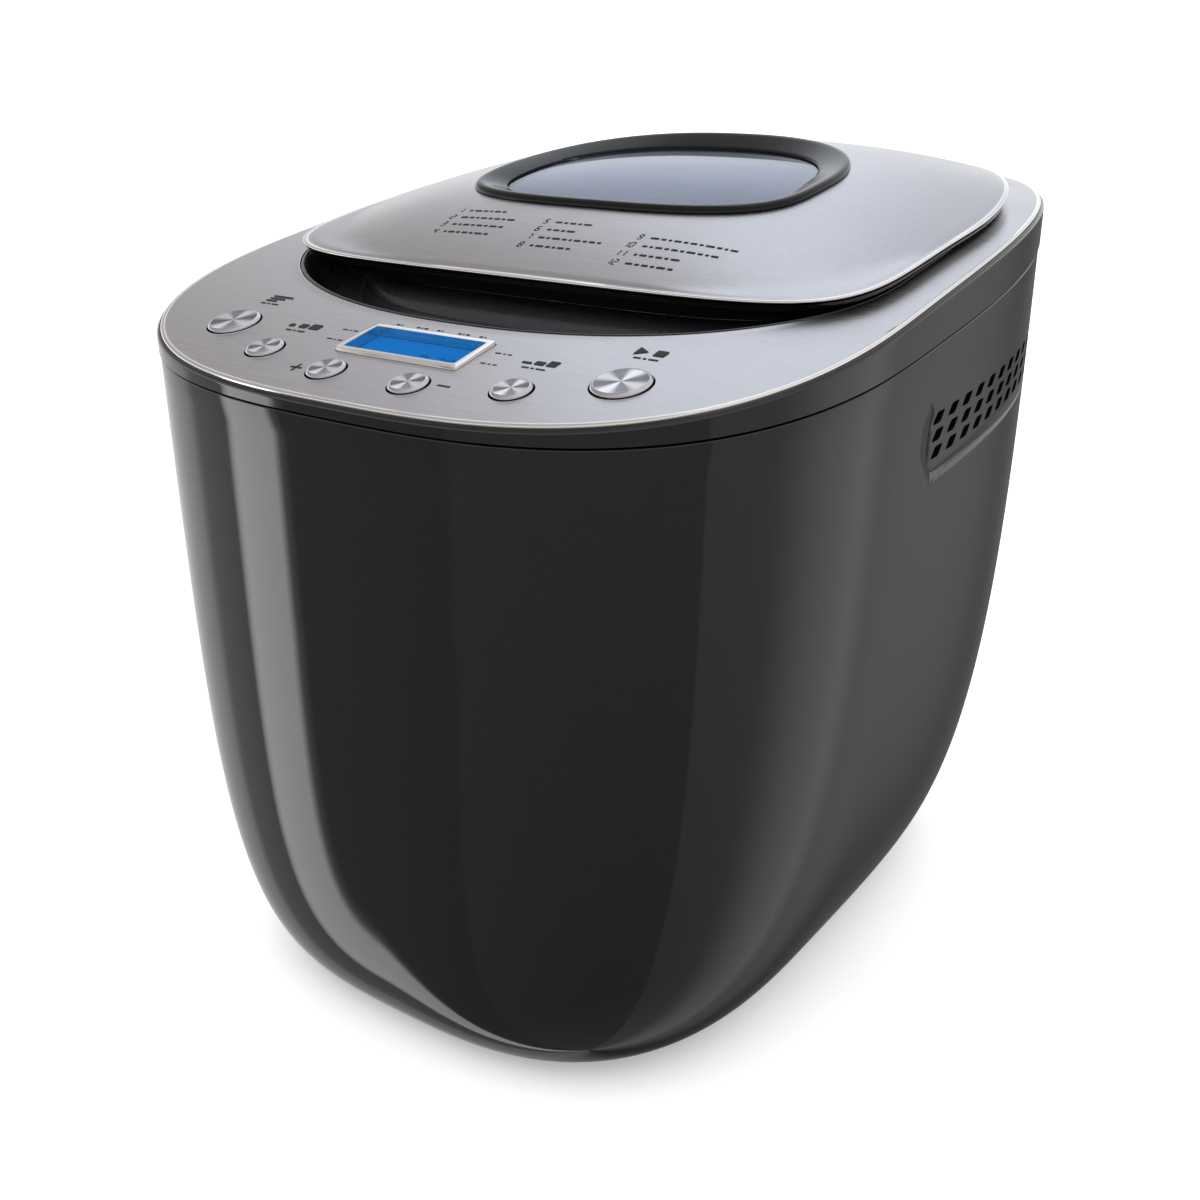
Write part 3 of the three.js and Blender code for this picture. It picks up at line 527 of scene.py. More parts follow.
def bar_mesh(name, points, radius):
    """A round bar bent along points in millimetres."""
    curve = bpy.data.curves.new(name, "CURVE")
    curve.dimensions = "3D"
    curve.bevel_depth = radius * MM
    curve.bevel_resolution = 5
    curve.use_fill_caps = True
    line = curve.splines.new("NURBS")
    line.points.add(len(points) - 1)
    for point, place in zip(line.points, points):
        point.co = (*(c * MM for c in place), 1)
    line.use_endpoint_u = True
    line.order_u = 3
    line.resolution_u = 8
    holder = bpy.data.objects.new(name + "_path", curve)
    bpy.context.collection.objects.link(holder)
    mesh = bpy.data.meshes.new_from_object(holder.evaluated_get(bpy.context.evaluated_depsgraph_get()))
    bpy.data.objects.remove(holder)
    bpy.data.curves.remove(curve)
    bm = bmesh.new()
    bm.from_mesh(mesh)
    bpy.data.meshes.remove(mesh)
    bmesh.ops.remove_doubles(bm, verts=bm.verts, dist=1e-6)
    return bm


def tube(name, points, radius, material, body, slot, *nodes):
    settle(new_object(name, bar_mesh(name, points, radius), material, 45), body, slot, *nodes)


def settle(piece, body, slot, *nodes):
    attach(piece, body)
    if nodes:
        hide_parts(*nodes)
    return piece


# ---- body -----------------------------------------------------------------------------------
def shell_ring(t, inset=0.0, lift=0.0, count=192, top=outline(FASCIA)):
    def fall(d, m):
        return d * (1 - math.sqrt(max(0.0, 1 - t ** m)))
    section = dict(
        hw=FASCIA["hw"] * (1 - 0.038 * t - fall(0.319, 3.71)), ym=FASCIA["ym"],
        bf=FASCIA["bf"] * (1 - fall(0.17, 8)), bb=FASCIA["bb"] * (1 - 0.149 * t - fall(0.02, 2.56)),
        nf=FASCIA["nf"] + 0.06 * t, nb=FASCIA["nb"] + 0.91 * t)
    points = outline(section, RIM_OUT * (1 - t) - 0.4 - inset, count)
    return [(x, y, (seam_z(top[i][1]) - 0.5) * (1 - t) + 3.5 * t + lift) for i, (x, y) in enumerate(points)]


def vent_slots():
    cutters = []
    for side in (-1, 1):
        for row in range(3):
            for column in range(11):
                y = -39 + column * 12.2 + row * 0.6
                z = 220 - row * 5.7 + (y + 39) * 0.045
                slot = rounded_block(6.4, 3.8, -16, 16, 1.0, steps=3)
                for vert in slot.verts:
                    vert.co.x += vert.co.y * 0.85
                turn = Matrix(((0, 0, 1, 0), (1, 0, 0, 0), (0, 1, 0, 0), (0, 0, 0, 1)))
                moved(slot, Matrix.Translation((side * 124 * MM, y * MM, z * MM)) @ turn)
                cutters.append(slot)
    return cutters


def vent_grooves(body):
    """Fine lines that run under the slots and turn up at their rear end."""
    path = [(-45.5, 224), (-46.4, 219), (-46.6, 212), (-45.6, 205.4), (-41, 202.2), (-30, 202.4),
            (-10, 203.3),
            (15, 204.4), (40, 205.6), (62, 206.8), (80, 208.4), (92, 211.4), (99, 216), (102, 221),
            (103, 227)]
    grooves = []
    fine = [(a[0] + (b[0] - a[0]) * k / 4, a[1] + (b[1] - a[1]) * k / 4)
            for a, b in zip(path, path[1:]) for k in range(4)] + path[-1:]
    for side in (-1, 1):
        points = []
        for y, z in fine:
            hit, place, _, _ = body.ray_cast(Vector((side * 0.3, y * MM, z * MM)), Vector((-side, 0, 0)))
            points.append((place.x / MM + side * 0.1, y, z))
        grooves.append(bar_mesh("groove", points, 0.27))
    return grooves


def make_body():
    levels = [1 - (1 - math.sin(k / 46 * math.pi / 2)) for k in range(47)]
    outer = [shell_ring(t) for t in reversed(levels)]
    lip = [shell_ring(0, 0.5 * (1 - math.cos(a)), 0.5 * math.sin(a) - 0.5) for a in (0.3, 0.8, 1.2, 1.57)]
    inner = [shell_ring(t, 2.6 + 1.5 * t ** 6, 2.6 * t ** 6) for t in (0, 0.12, 0.3, 0.5, 0.68, 0.8, 0.88,
            0.94, 0.97)]
    foot_rings = [shell_ring(1, 6, 2.5), shell_ring(1, 6, 0), shell_ring(1, 3, 0)]
    outer[-1] = shell_ring(0, 0, -0.5)
    body = loft("body_casing", foot_rings + outer + lip + inner, GLOSS, sharp=40)
    cut_out(body, vent_slots() + vent_grooves(body))
    settle(body, "housing", "gloss_black", "body_shell")


def well_depth(y, trough):
    return LEDGE_DEPTH + TROUGH_DEPTH * trough * (1 - smooth_step(-82, -48, y))


def make_deck():
    well_out, fascia_out = outline(WELL), outline(FASCIA)

    def rim(grow, height):
        return ring_at(outline(FASCIA, grow), height)

    def well(grow, drop):
        return ring_at(outline(WELL, grow), lambda x, y: fascia_z(y) - drop)

    def deck(f, drop):
        return ring_at(between(fascia_out, well_out, f), lambda x, y: fascia_z(y) - drop)

    def floor(f, trough, extra=0.0, out=0.0):
        first, second = outline(WELL, -3 + out), outline(OPENING, out)
        return ring_at(between(first, second, f), lambda x, y: fascia_z(y) - well_depth(y, trough) - extra)

    rings = [rim(RIM_OUT, lambda x, y: seam_z(y) + 0.3)]
    rings += [rim(RIM_OUT, lambda x, y, f=f: (seam_z(y) + 0.3) * (1 - f) + (fascia_z(y) - 1.9) * f)
              for f in (0.02, 0.1, 0.35, 0.65, 0.9, 1)]
    for angle in (25, 50, 75, 90):
        a = math.radians(angle)
        rings.append(rim(RIM_OUT - 1.1 * (1 - math.cos(a)), lambda x, y,
                         a=a: fascia_z(y) - 1.9 + 1.1 * math.sin(a)))
    rings += [rim(0.32, lambda x, y: fascia_z(y) - 0.8), rim(0.3, lambda x, y: fascia_z(y) - 1.3)]
    rings += [deck(0.34, 1.3), deck(0.67, 1.3), well(-0.3, 1.3), well(-0.3, 0.45)]
    for angle in (0, 30, 60, 90, 120, 150, 180):
        a = math.radians(angle)
        rings.append(well(-0.95 + 0.6 * math.cos(a), 0.35 - 0.35 * math.sin(a)))
    wall = [(0, 0.6), (0.012, 2.6), (0.03, 6), (0.06, 10.5), (0.1, 13.4), (0.16, 15)]
    for f, fall in wall:
        part = fall / 15
        rings.append(ring_at(
            between(outline(WELL, -2.1), outline(OPENING), f),
            lambda x, y, part=part: fascia_z(y) - 0.6 - (well_depth(y, 1) - 0.6) * part ** 0.9))
    rings += [floor(f, 1) for f in (0.22, 0.28, 0.34, 0.38)]
    rings += [floor(f, trough) for f, trough in ((0.42, 0.96), (0.45, 0.8), (0.48, 0.5), (0.51, 0.2),
                                                 (0.54, 0.04))]
    rings += [floor(f, 0) for f in (0.58, 0.7, 0.85, 0.97)]
    mouth = [(0, 0.0), (-0.3, 0.3), (-0.6, 1), (-0.6, 10), (1.8, 10), (1.8, 2.4)]
    rings += [ring_at(outline(OPENING, -grow), lambda x, y, d=d: fascia_z(y) - LEDGE_DEPTH - d) for grow,
              d in mouth[:4]]
    rings += [ring_at(outline(OPENING, grow), lambda x, y, d=d: fascia_z(y) - LEDGE_DEPTH - d) for grow,
              d in mouth[4:]]
    rings += [floor(0.52, 0.1, 2.4, 2.4), floor(0.42, 1, 2.4, 2.4), floor(0.08, 1, 2.4, 2.4), well(0, 3.6)]
    rings += [deck(0.67, 3.6), deck(0.34, 3.6), rim(-1.4, lambda x, y: fascia_z(y) - 3.6),
              rim(-1.4, lambda x, y: seam_z(y) + 0.3)]
    deck_piece = loft("top_housing", rings, [GLOSS, RECESS_PAINTED_SHEEN], sharp=40)
    # Faces inside the well take the lighter grey, the painted sheen of the trough.
    for face in deck_piece.data.polygons:
        if inside_outline(WELL, -1.2, face.center.x / MM, face.center.y / MM):
            face.material_index = 1
    holes = [moved(spun([(0, -12), (r + 2.6, -12), (r + 2.6, 12), (0, 12)], 0, 0, 40), fascia_place(x, y))
             for _, x, y, r in BUTTONS]
    holes.append(moved(rounded_block(50.6, 21.2, -12, 12, 1.2), fascia_place(0, DISPLAY_Y)))
    cut_out(deck_piece, holes)
    settle(deck_piece, "housing", "gloss_black", "upper_housing")


def make_fascia():
    fascia_out, well_out = outline(FASCIA), outline(WELL)

    def at(f, drop):
        return ring_at(between(fascia_out, well_out, f), lambda x, y: fascia_z(y) - drop)

    def edge(shape, grow, drop):
        return ring_at(outline(shape, grow), lambda x, y: fascia_z(y) - drop)

    rings = [edge(FASCIA, 0, 0.9), edge(FASCIA, 0, 0.5)]
    rolled = [(-0.02, 0.36), (-0.12, 0.2), (-0.3, 0.08), (-0.55, 0.01), (-0.8, 0.0), (-1.1, 0.03),
              (-1.3, 0.12),
              (-1.5, 0.16), (-1.9, 0.16)]
    rings += [edge(FASCIA, grow, drop) for grow, drop in rolled]
    rings += [at(f, 0.16) for f in (0.1, 0.22, 0.34, 0.46, 0.58, 0.7, 0.82, 0.92)]
    rings += [edge(WELL, 0.7, 0.16), edge(WELL, 0.45, 0.1), edge(WELL, 0.2, 0.14), edge(WELL, 0.05, 0.3),
              edge(WELL, 0, 0.5)]
    rings += [edge(WELL, 0, 0.9)] + [at(f, 0.9) for f in (0.8, 0.6, 0.4, 0.2)]
    fascia = loft("control_fascia", rings, [STEEL, BRIGHT_PAINTED_HIGHLIGHT], sharp=50)
    shade_edge(fascia, FASCIA, 1.45)
    shade_edge(fascia, WELL, 0.5, inside=True)
    holes = [moved(spun([(0, -6), (r + 0.55, -6), (r + 0.55, 6), (0, 6)], 0, 0, 64), fascia_place(x, y))
             for _, x, y, r in BUTTONS]
    holes.append(moved(rounded_block(50, 20.6, -6, 6, 1.0), fascia_place(0, DISPLAY_Y)))
    cut_out(fascia, holes)
    settle(fascia, "housing", "brushed_steel", "steel_fascia")


def inside_outline(shape, grow, x, y):
    below = y < shape["ym"]
    n = shape["nf"] if below else shape["nb"]
    depth = (shape["bf"] if below else shape["bb"]) + grow
    return abs(x / (shape["hw"] + grow)) ** n + abs((y - shape["ym"]) / depth) ** n < 1


def shade_edge(piece, shape, width, inside=False):
    """Gives the faces along an outline the bright second material, whose lighter colour paints the edge
    highlight.
    """
    for face in piece.data.polygons:
        x, y = face.center.x / MM, face.center.y / MM
        if inside:
            near = inside_outline(shape, width, x, y)
        else:
            near = not inside_outline(shape, -width, x, y)
        if near:
            face.material_index = 1


# ---- keys -----------------------------------------------------------------------------------
def map_turning(key, centre):
    """Gives a key a map with u round it and v outwards, in metres."""
    layer = key.data.uv_layers.new(name="turning")
    back = centre.inverted()
    for face in key.data.polygons:
        local = back @ face.center
        middle = math.atan2(local.y, local.x)
        for loop in face.loop_indices:
            corner = back @ key.data.vertices[key.data.loops[loop].vertex_index].co
            radius = math.hypot(corner.x, corner.y)
            angle = math.atan2(corner.y, corner.x) if radius > 1e-6 else middle
            angle += 2 * math.pi * round((middle - angle) / (2 * math.pi))
            layer.data[loop].uv = (angle / (2 * math.pi), radius)


def make_keys():
    for name, x, y, r in BUTTONS:
        cap = [(0, 0.94), (r * 0.3, 0.95), (r * 0.62, 0.98), (r - 1.25, 1.03), (r - 1.1, 1.05)]
        rim = [(r - 1.05, 1.12), (r - 0.9, 1.16), (r - 0.72, 1.1), (r - 0.12, 0.6), (r, 0.4), (r, -1.8)]
        under = [(r + 1.7, -1.85), (r + 1.7, -2.95), (1.9, -2.95), (1.9, -6.4), (0, -6.4)]
        centre = fascia_place(x, y)
        key = new_object(f"{name}_cap", moved(spun(cap + rim + under, 0, 0, 72), centre), [SPUN, CUT_EDGE],
                         28)
        map_turning(key, centre)
        for face in key.data.polygons:
            local = centre.inverted() @ face.center
            if math.hypot(local.x, local.y) / MM > r - 1.15:
                face.material_index = 1
        settle(key, f"{name}_key", "spun_aluminium", f"{name}_button")


# ---- display --------------------------------------------------------------------------------
def make_display():
    # The surround takes the buffed steel of the rolled edges, with its lighter, painted-highlight colour.
    frame_piece = new_object("display_surround",
                             moved(rounded_block(49.6, 20.2, -2.4, 1.0, 1.2, 0.35),
                                   fascia_place(0, DISPLAY_Y)),
                             [BRIGHT_PAINTED_HIGHLIGHT], 40)
    cut_out(frame_piece, [moved(rounded_block(45.4, 16.0, -6, 6, 0.7), fascia_place(0, DISPLAY_Y))])
    settle(frame_piece, "housing", "spun_aluminium", "display_frame")
    lens = new_object("display_window", moved(rounded_block(44.6, 15.2, -1.3, -0.7, 0.6),
                                              fascia_place(0, DISPLAY_Y)), LENS)
    settle(lens, "housing", "glass", "display_lens")
    cell = new_object("display_cell", moved(rounded_block(46, 16.6, -8, -2.7, 0.6),
                                            fascia_place(0, DISPLAY_Y)), DISPLAY)
    settle(cell, "housing", "display", "display_module")
    make_digits()


SEGMENTS = {
    "0": "abcdef", "1": "bc", "2": "abged", "3": "abgcd", "4": "fgbc", "5": "afgcd", "6": "afgedc",
    "7": "abc",
    "8": "abcdefg", "9": "abcdfg",
}


def bar_plate(width, height, x, y, lift, thick=0.05, radius=None):
    bm = rounded_block(width, height, lift, lift + thick,
                       radius if radius is not None else min(width, height) * 0.35, steps=2)
    return moved(bm, Matrix.Translation((x * MM, y * MM, 0)))


def join_all(parts):
    whole = bmesh.new()
    for part in parts:
        mesh = bpy.data.meshes.new("part")
        part.to_mesh(mesh)
        part.free()
        whole.from_mesh(mesh)
        bpy.data.meshes.remove(mesh)
    return whole


def digit_bars(text, x, y, height, stroke, lift, lean=0.12):
    """Seven-segment figures."""
    width = height * 0.5
    spots = {
        "a": (0.5, 1, 1), "b": (1, 0.75, 0), "c": (1, 0.25, 0), "d": (0.5, 0, 1), "e": (0, 0.25, 0),
        "f": (0, 0.75, 0),
        "g": (0.5, 0.5, 1),
    }
    parts = []
    for character in text:
        if character in ":.":
            heights = (0.3, 0.7) if character == ":" else (0.0,)
            parts += [bar_plate(stroke, stroke, x + lean * height * h, y + height * h,
                                lift) for h in heights]
            x += stroke * 2.4
            continue
        for key in SEGMENTS[character]:
            fx, fy, level = spots[key]
            size = (width - stroke * 0.5, stroke) if level else (stroke, height * 0.5 - stroke * 0.4)
            parts.append(bar_plate(size[0], size[1], x + fx * width + lean * height * fy, y + fy * height,
                                   lift))
        x += width + stroke * 2.2
    return parts


def make_digits():
    parts = digit_bars("3:20", 1.2, -6.6, 6.6, 0.75, -2.66)
    digits = new_object("display_digits", moved(join_all(parts), fascia_place(0, DISPLAY_Y)), DIGIT,
                        smooth=False)
    settle(digits, "housing", "display")


# ---- printed marks --------------------------------------------------------------------------
def strokes(parts, x, y, widths, height=0.9, gap=0.7, lift=0.0):
    for width in widths:
        parts.append(bar_plate(width, height, x + width / 2, y, lift, 0.03))
        x += width + gap


def make_fascia_marks():
    """Plain signs beside the keys and short index marks round the display."""
    for name, x, y, r in BUTTONS:
        parts = []
        middle = 12.6 + r
        if name == "menu":
            for k in range(3):
                parts.append(bar_plate(9.5 - 2.2 * k, 1.0, -1.1 * k, middle + 1.9 - k * 1.9, 0.0, 0.03))
        elif name == "start":
            for k in range(7):
                parts.append(bar_plate(0.6, 4.8 - k * 0.7, -8.6 + k * 0.55, middle, 0.0, 0.03, 0.1))
            parts.append(bar_plate(3.8, 3.8, -0.6, middle, 0.0, 0.03, 0.3))
        elif name == "size":
            for k, size in enumerate((2.4, 3.4, 4.4)):
                parts.append(bar_plate(size, size * 0.85, -5.4 + k * 5.0, middle - 2 + size * 0.42, 0.0,
                                       0.03, 0.6))
        elif name == "crust":
            for k, size in enumerate((1.2, 2.4, 3.6)):
                parts.append(bar_plate(3.4, size, -7.6 + k * 4.4, middle - 2 + size / 2, 0.0, 0.03, 0.3))
        elif name == "plus":
            parts.append(bar_plate(5.0, 1.1, -r - 5.2, -1.5, 0.0, 0.03))
            parts.append(bar_plate(1.1, 5.0, -r - 5.2, -1.5, 0.0, 0.03))
        else:
            parts.append(bar_plate(5.0, 1.1, r + 5.2, 2.5, 0.0, 0.03))
        if name in ("menu", "start", "size", "crust"):
            strokes(parts, -7.4 if name in ("start", "crust") else -5.0, middle - 4.4, (2.6, 1.2, 3.4), 0.8)
        mark = new_object(f"{name}_sign", moved(join_all(parts), fascia_place(x, y, -0.17)), INK,
                          smooth=False)
        settle(mark, "housing", "gloss_black")
    parts = []
    for k in range(5):
        strokes(parts, -19 + k * 8.6, 13.2, (1.3, 0.5, 1.5)[: 3 if k % 2 else 2], 0.9)
    for k in range(2):
        strokes(parts, -35, 4.5 - k * 7.5, (2.4, 0.9, 2.2), 0.9)
        strokes(parts, 28.5, 4.5 - k * 7.5, (2.2, 1.1, 1.7), 0.9)
    marks = new_object("display_index_marks", moved(join_all(parts), fascia_place(0, DISPLAY_Y, -0.17)),
                       INK, smooth=False)
    settle(marks, "housing", "gloss_black")


RULE_LENGTHS = (17, 22, 23, 20, 15, 12, 26, 17, 32, 27, 18, 19)
DASHES = (2.6, 1.6, 3.4, 2.0, 1.4, 2.8, 1.8)


def make_lid_marks():
    """Programme numbers in three columns, each with a plain dashed rule."""
    parts = []
    for number, length in enumerate(RULE_LENGTHS, 1):
        column, row = divmod(number - 1, 4)
        x = (-51.6, -9.6, 32.4)[column]
        y = -44.5 - row * 5.0 - column * 4.0
        width = len(str(number)) * 2.4
        parts += digit_bars(str(number), x + 1 - width, y - 1.3, 2.8, 0.42, 0)
        dashes = []
        while sum(dashes) + 0.8 * len(dashes) < length:
            dashes.append(DASHES[(number + len(dashes)) % len(DASHES)])
        strokes(parts, x + 3.4, y, dashes, 1.15, 0.8)
    bm = join_all(parts)
    for vert in bm.verts:
        x, y = vert.co.x / MM, vert.co.y / MM
        vert.co.z += (lid_z(x, y) + 0.01) * MM
    marks = new_object("programme_marks", bm, INK, smooth=False)
    settle(marks, "lid", "gloss_black")


# ---- lid ------------------------------------------------------------------------------------
def make_lid():
    rim, hole = outline(LID), outline(WINDOW, -1.5)

    def at(f, drop):
        return ring_at(between(rim, hole, f), lambda x, y: lid_z(x, y) - drop)

    def edge(grow, drop):
        return ring_at(outline(LID, grow), lambda x, y: lid_z(x, y) - drop)

    rolled = [(0.1, 0.9), (0.45, 0.75), (0.58, 0.45), (0.55, 0.2), (0.4, 0.03), (0.1, -0.02), (-0.3, 0.0),
              (-0.7, 0.06),
              (-1.0, 0.18), (-1.4, 0.22), (-2.0, 0.16)]
    rings = [edge(grow, drop) for grow, drop in rolled]
    rings += [at(f, 0) for f in (0.05, 0.09, 0.14, 0.2, 0.27, 0.35, 0.43, 0.51, 0.6, 0.69, 0.78, 0.87, 0.95,
                                 1)]
    rings += [at(f, SHEET) for f in (1, 0.8, 0.6, 0.4, 0.25, 0.12, 0.04)]
    skin = loft("lid_cover", rings, [STEEL, BRIGHT_PAINTED_HIGHLIGHT], sharp=50)
    shade_edge(skin, LID, 1.05)
    settle(skin, "lid", "brushed_steel", "lid_skin")

    top = SHEET + 0.6
    rings = [ring_at(outline(LID, 0.1), lambda x, y: lid_z(x, y) - top)]
    rings += [at(f, top) for f in (0.04, 0.15, 0.3, 0.5, 0.75, 1)]
    rings += [at(f, top + 2.2) for f in (1, 0.66, 0.4)]
    for grow, drop in ((-2.4, -1), (-2.4, 5.6), (-2, 6), (-0.4, 6), (0, 5.6), (0, 1.2), (0.6, 0.2)):
        rings.append(ring_at(outline(SKIRT, grow), lambda x, y, d=drop: fascia_z(y) - d))
    for grow, rise in ((-4.5, 0.55), (-2.4, 0.6), (-1.5, 0.8), (-0.9, 1.3), (-0.6, 2.0), (-0.3, 2.9)):
        rings.append(ring_at(outline(LID, grow), lambda x, y, d=rise: fascia_z(y) + d))
    shell = loft("lid_frame", rings, GLOSS, sharp=45)
    pockets = []
    for x in (-30, 30):
        for half, y0, y1 in ((2.4, 128.8, 140), (5.4, 135.2, 152)):
            pocket = bmesh.new()
            bmesh.ops.create_cube(pocket, size=1)
            bmesh.ops.scale(pocket, vec=(2 * half * MM, (y1 - y0) * MM, 11.5 * MM), verts=pocket.verts)
            bmesh.ops.translate(pocket, vec=(x * MM, (y0 + y1) / 2 * MM, 273.75 * MM), verts=pocket.verts)
            pockets.append(pocket)
    for pocket in pockets:
        cut_out(shell, [pocket])
    settle(shell, "lid", "gloss_black", "lid_shell")


def glass_level(drop):
    return lambda x, y: lid_z(0, y) * 0.5 + lid_z(x, y) * 0.5 - drop


def make_window():
    def ring(grow, height):
        return ring_at(outline(WINDOW, grow, 160), height)

    def skin_level(drop):
        return lambda x, y: lid_z(x, y) - drop

    rings = [ring(-2, skin_level(6)), ring(-2, skin_level(-0.2)), ring(-0.2, skin_level(-0.15))]
    for grow, drop in ((0, -0.3), (0, -0.9), (-0.2, -1.5), (-0.7, -1.92), (-1.4, -2.1), (-2.2, -2.08),
                       (-3.0, -1.85)):
        rings.append(ring(grow, skin_level(drop)))
    for k in range(1, 9):
        f = k / 9
        rings.append(ring_at(between(outline(WINDOW, -3.0, 160), outline(WINDOW, -GLASS_INSET, 160), f),
                             lambda x, y, f=f: (lid_z(x, y) + 1.85) * (1 - f) + glass_level(2.9)(x, y) * f))
    rings += [ring(-GLASS_INSET, glass_level(2.9)), ring(-GLASS_INSET - 0.1, glass_level(3.3))]
    rings += [ring(-GLASS_INSET + 2.4, glass_level(3.45)), ring(-GLASS_INSET + 2.4, glass_level(8)),
              ring(-4, skin_level(9))]
    frame_piece = loft("window_surround", rings, SATIN, sharp=55)
    settle(frame_piece, "lid", "gloss_black", "window_frame")

    edge = outline(WINDOW, 2.4 - GLASS_INSET - 0.3, 160)
    middle = [(0, WINDOW["ym"])] * 160
    fractions = (0, 0.3, 0.6, 0.85, 1)
    rings = [ring_at(between(middle, edge, f), glass_level(6.2)) for f in fractions]
    rings += [ring_at(between(middle, edge, f), glass_level(3.7)) for f in reversed(fractions)]
    pane = loft("window_pane", rings, GLASS, closed=False)
    settle(pane, "lid", "glass", "window_glass")
    edge = outline(WINDOW, -14, 160)
    rings = [ring_at(between(middle, edge, f), lambda x, y: fascia_z(y) - 5.7) for f in fractions]
    rings += [ring_at(between(middle, edge, f), lambda x,
                      y: fascia_z(y) - 2.7) for f in reversed(fractions)]
    inner = loft("window_inner_pane", rings, GLASS, closed=False)
    settle(inner, "lid", "glass", "window_inner_glass")

    def liner(shape, grow, drop):
        return ring_at(outline(shape, grow, 160), lambda x, y: fascia_z(y) - drop)
    rings = [liner(SKIRT, -2.7, 7.0), liner(SKIRT, -2.7, 1), liner(SKIRT, -3.9, 1), liner(SKIRT, -3.9, 6),
             liner(WINDOW, -17.6, 6), liner(WINDOW, -18.0, 6.1), liner(WINDOW, -18.1, 6.6),
             liner(WINDOW, -17.6, 7.1)]
    rings += [liner(WINDOW, 8, 7.1), liner(WINDOW, 9, 6.6), liner(WINDOW, 11, 6.6), liner(WINDOW, 12, 7.1),
              liner(SKIRT, -3.2, 7.2)]
    settle(loft("lid_inner_cover", rings, CHAMBER_STEEL, sharp=40), "lid", "plain_steel", "lid_liner")
    rings = [liner(OPENING, grow, drop) for grow, drop in
             ((1.2, 8.5), (1, 8.2), (1.3, 7.8), (2.2, 7.7), (5.2, 7.7), (5.8, 7.9), (6, 8.3), (5.6, 8.6),
              (3.5, 8.7), (2, 8.7))]
    settle(loft("oven_seal", rings, SILICONE, sharp=60), "lid", "rubber", "lid_gasket")


# ---- oven and pan ---------------------------------------------------------------------------
def make_oven():
    def brim(drop):
        return lambda x, y: fascia_z(y) - LEDGE_DEPTH - 4 - drop

    def wall(grow, z):
        return ring_at(outline(CHAMBER, grow, 128), z)
    rings = [wall(-84 + k * 20, 76) for k in (0.001, 1, 2, 3)]
    rings += [wall(-6, 76), wall(-3, 77), wall(-1, 79), wall(0, 82), wall(0, 150), wall(0, brim(1.4)),
              wall(0.6, brim(1.2)),
              wall(4.6, brim(1.2)), wall(5, brim(0.9)), wall(5, brim(0.3)), wall(4.7, brim(0)),
              wall(0.4, brim(0)),
              wall(-0.7, brim(0.3)), wall(-1.2, brim(1.2)), wall(-1.2, 150), wall(-1.2, 83), wall(-2.2, 80),
              wall(-4.2, 78), wall(-7, 77.2)]
    rings += [wall(-84 + k * 20, 77.2) for k in (3, 2, 1, 0.001)]
    box = loft("baking_chamber", rings, CHAMBER_STEEL, closed=False, sharp=40)
    cut_out(box, [spun([(0, 60), (11, 60), (11, 90), (0, 90)], 0, 30, 40)])
    settle(box, "housing", "plain_steel", "oven_chamber")

    def side(grow, z):
        return ring_at(outline(PAN, grow, 128), z)
    rings = [side(-67 + k * 14, 98) for k in (0.001, 1, 2, 3)]
    rings += [side(-12, 98), side(-9, 98.6), side(-6.6, 100.4), side(-5, 103), side(-3, 160), side(-1, 223)]
    rings += [side(g, z) for g, z in ((-0.8, 223.6), (1, 223.4), (2.6, 223.6), (3.4, 224.4), (3.6, 225.2),
                                      (3.2, 225.8),
                                      (2.4, 226), (0.5, 225.9), (-1.2, 225.6), (-2.2, 224.8),
                                      (-2.6, 223.6))]
    rings += [side(-4.6, 160), side(-6.6, 105), side(-7.6, 102), side(-9.8, 100.3), side(-13, 99.8)]
    rings += [side(-67 + k * 14, 99.8) for k in (3, 2, 1, 0.001)]
    pan = loft("baking_pan", rings, COATING, closed=False, sharp=50)
    cut_out(pan, [spun([(0, 90), (8.3, 90), (8.3, 110), (0, 110)], 0, 30, 40)])
    settle(pan, "housing", "nonstick", "bread_pan")
    ears = []
    for s in (-1, 1):
        ear = rounded_block(14, 17.7, -2.2, 2.2, 3, 0.5)
        ears.append(moved(ear, Matrix.Translation((s * 67.9 * MM, 30 * MM,
                                                   214.6 * MM)) @ Matrix.Rotation(math.pi / 2, 4, "Y")
                          @ Matrix.Rotation(math.pi / 2, 4, "Z")))
    ear_piece = new_object("pan_ears", join_all(ears), PLAIN_STEEL, 40)
    cut_out(ear_piece, [moved(spun([(0, -90), (2.6, -90), (2.6, 90), (0, 90)], 0, 0, 24),
                              Matrix.Translation((0, 30 * MM, 214 * MM)) @ Matrix.Rotation(math.pi / 2, 4,
                                      "Y"))])
    settle(ear_piece, "housing", "plain_steel")


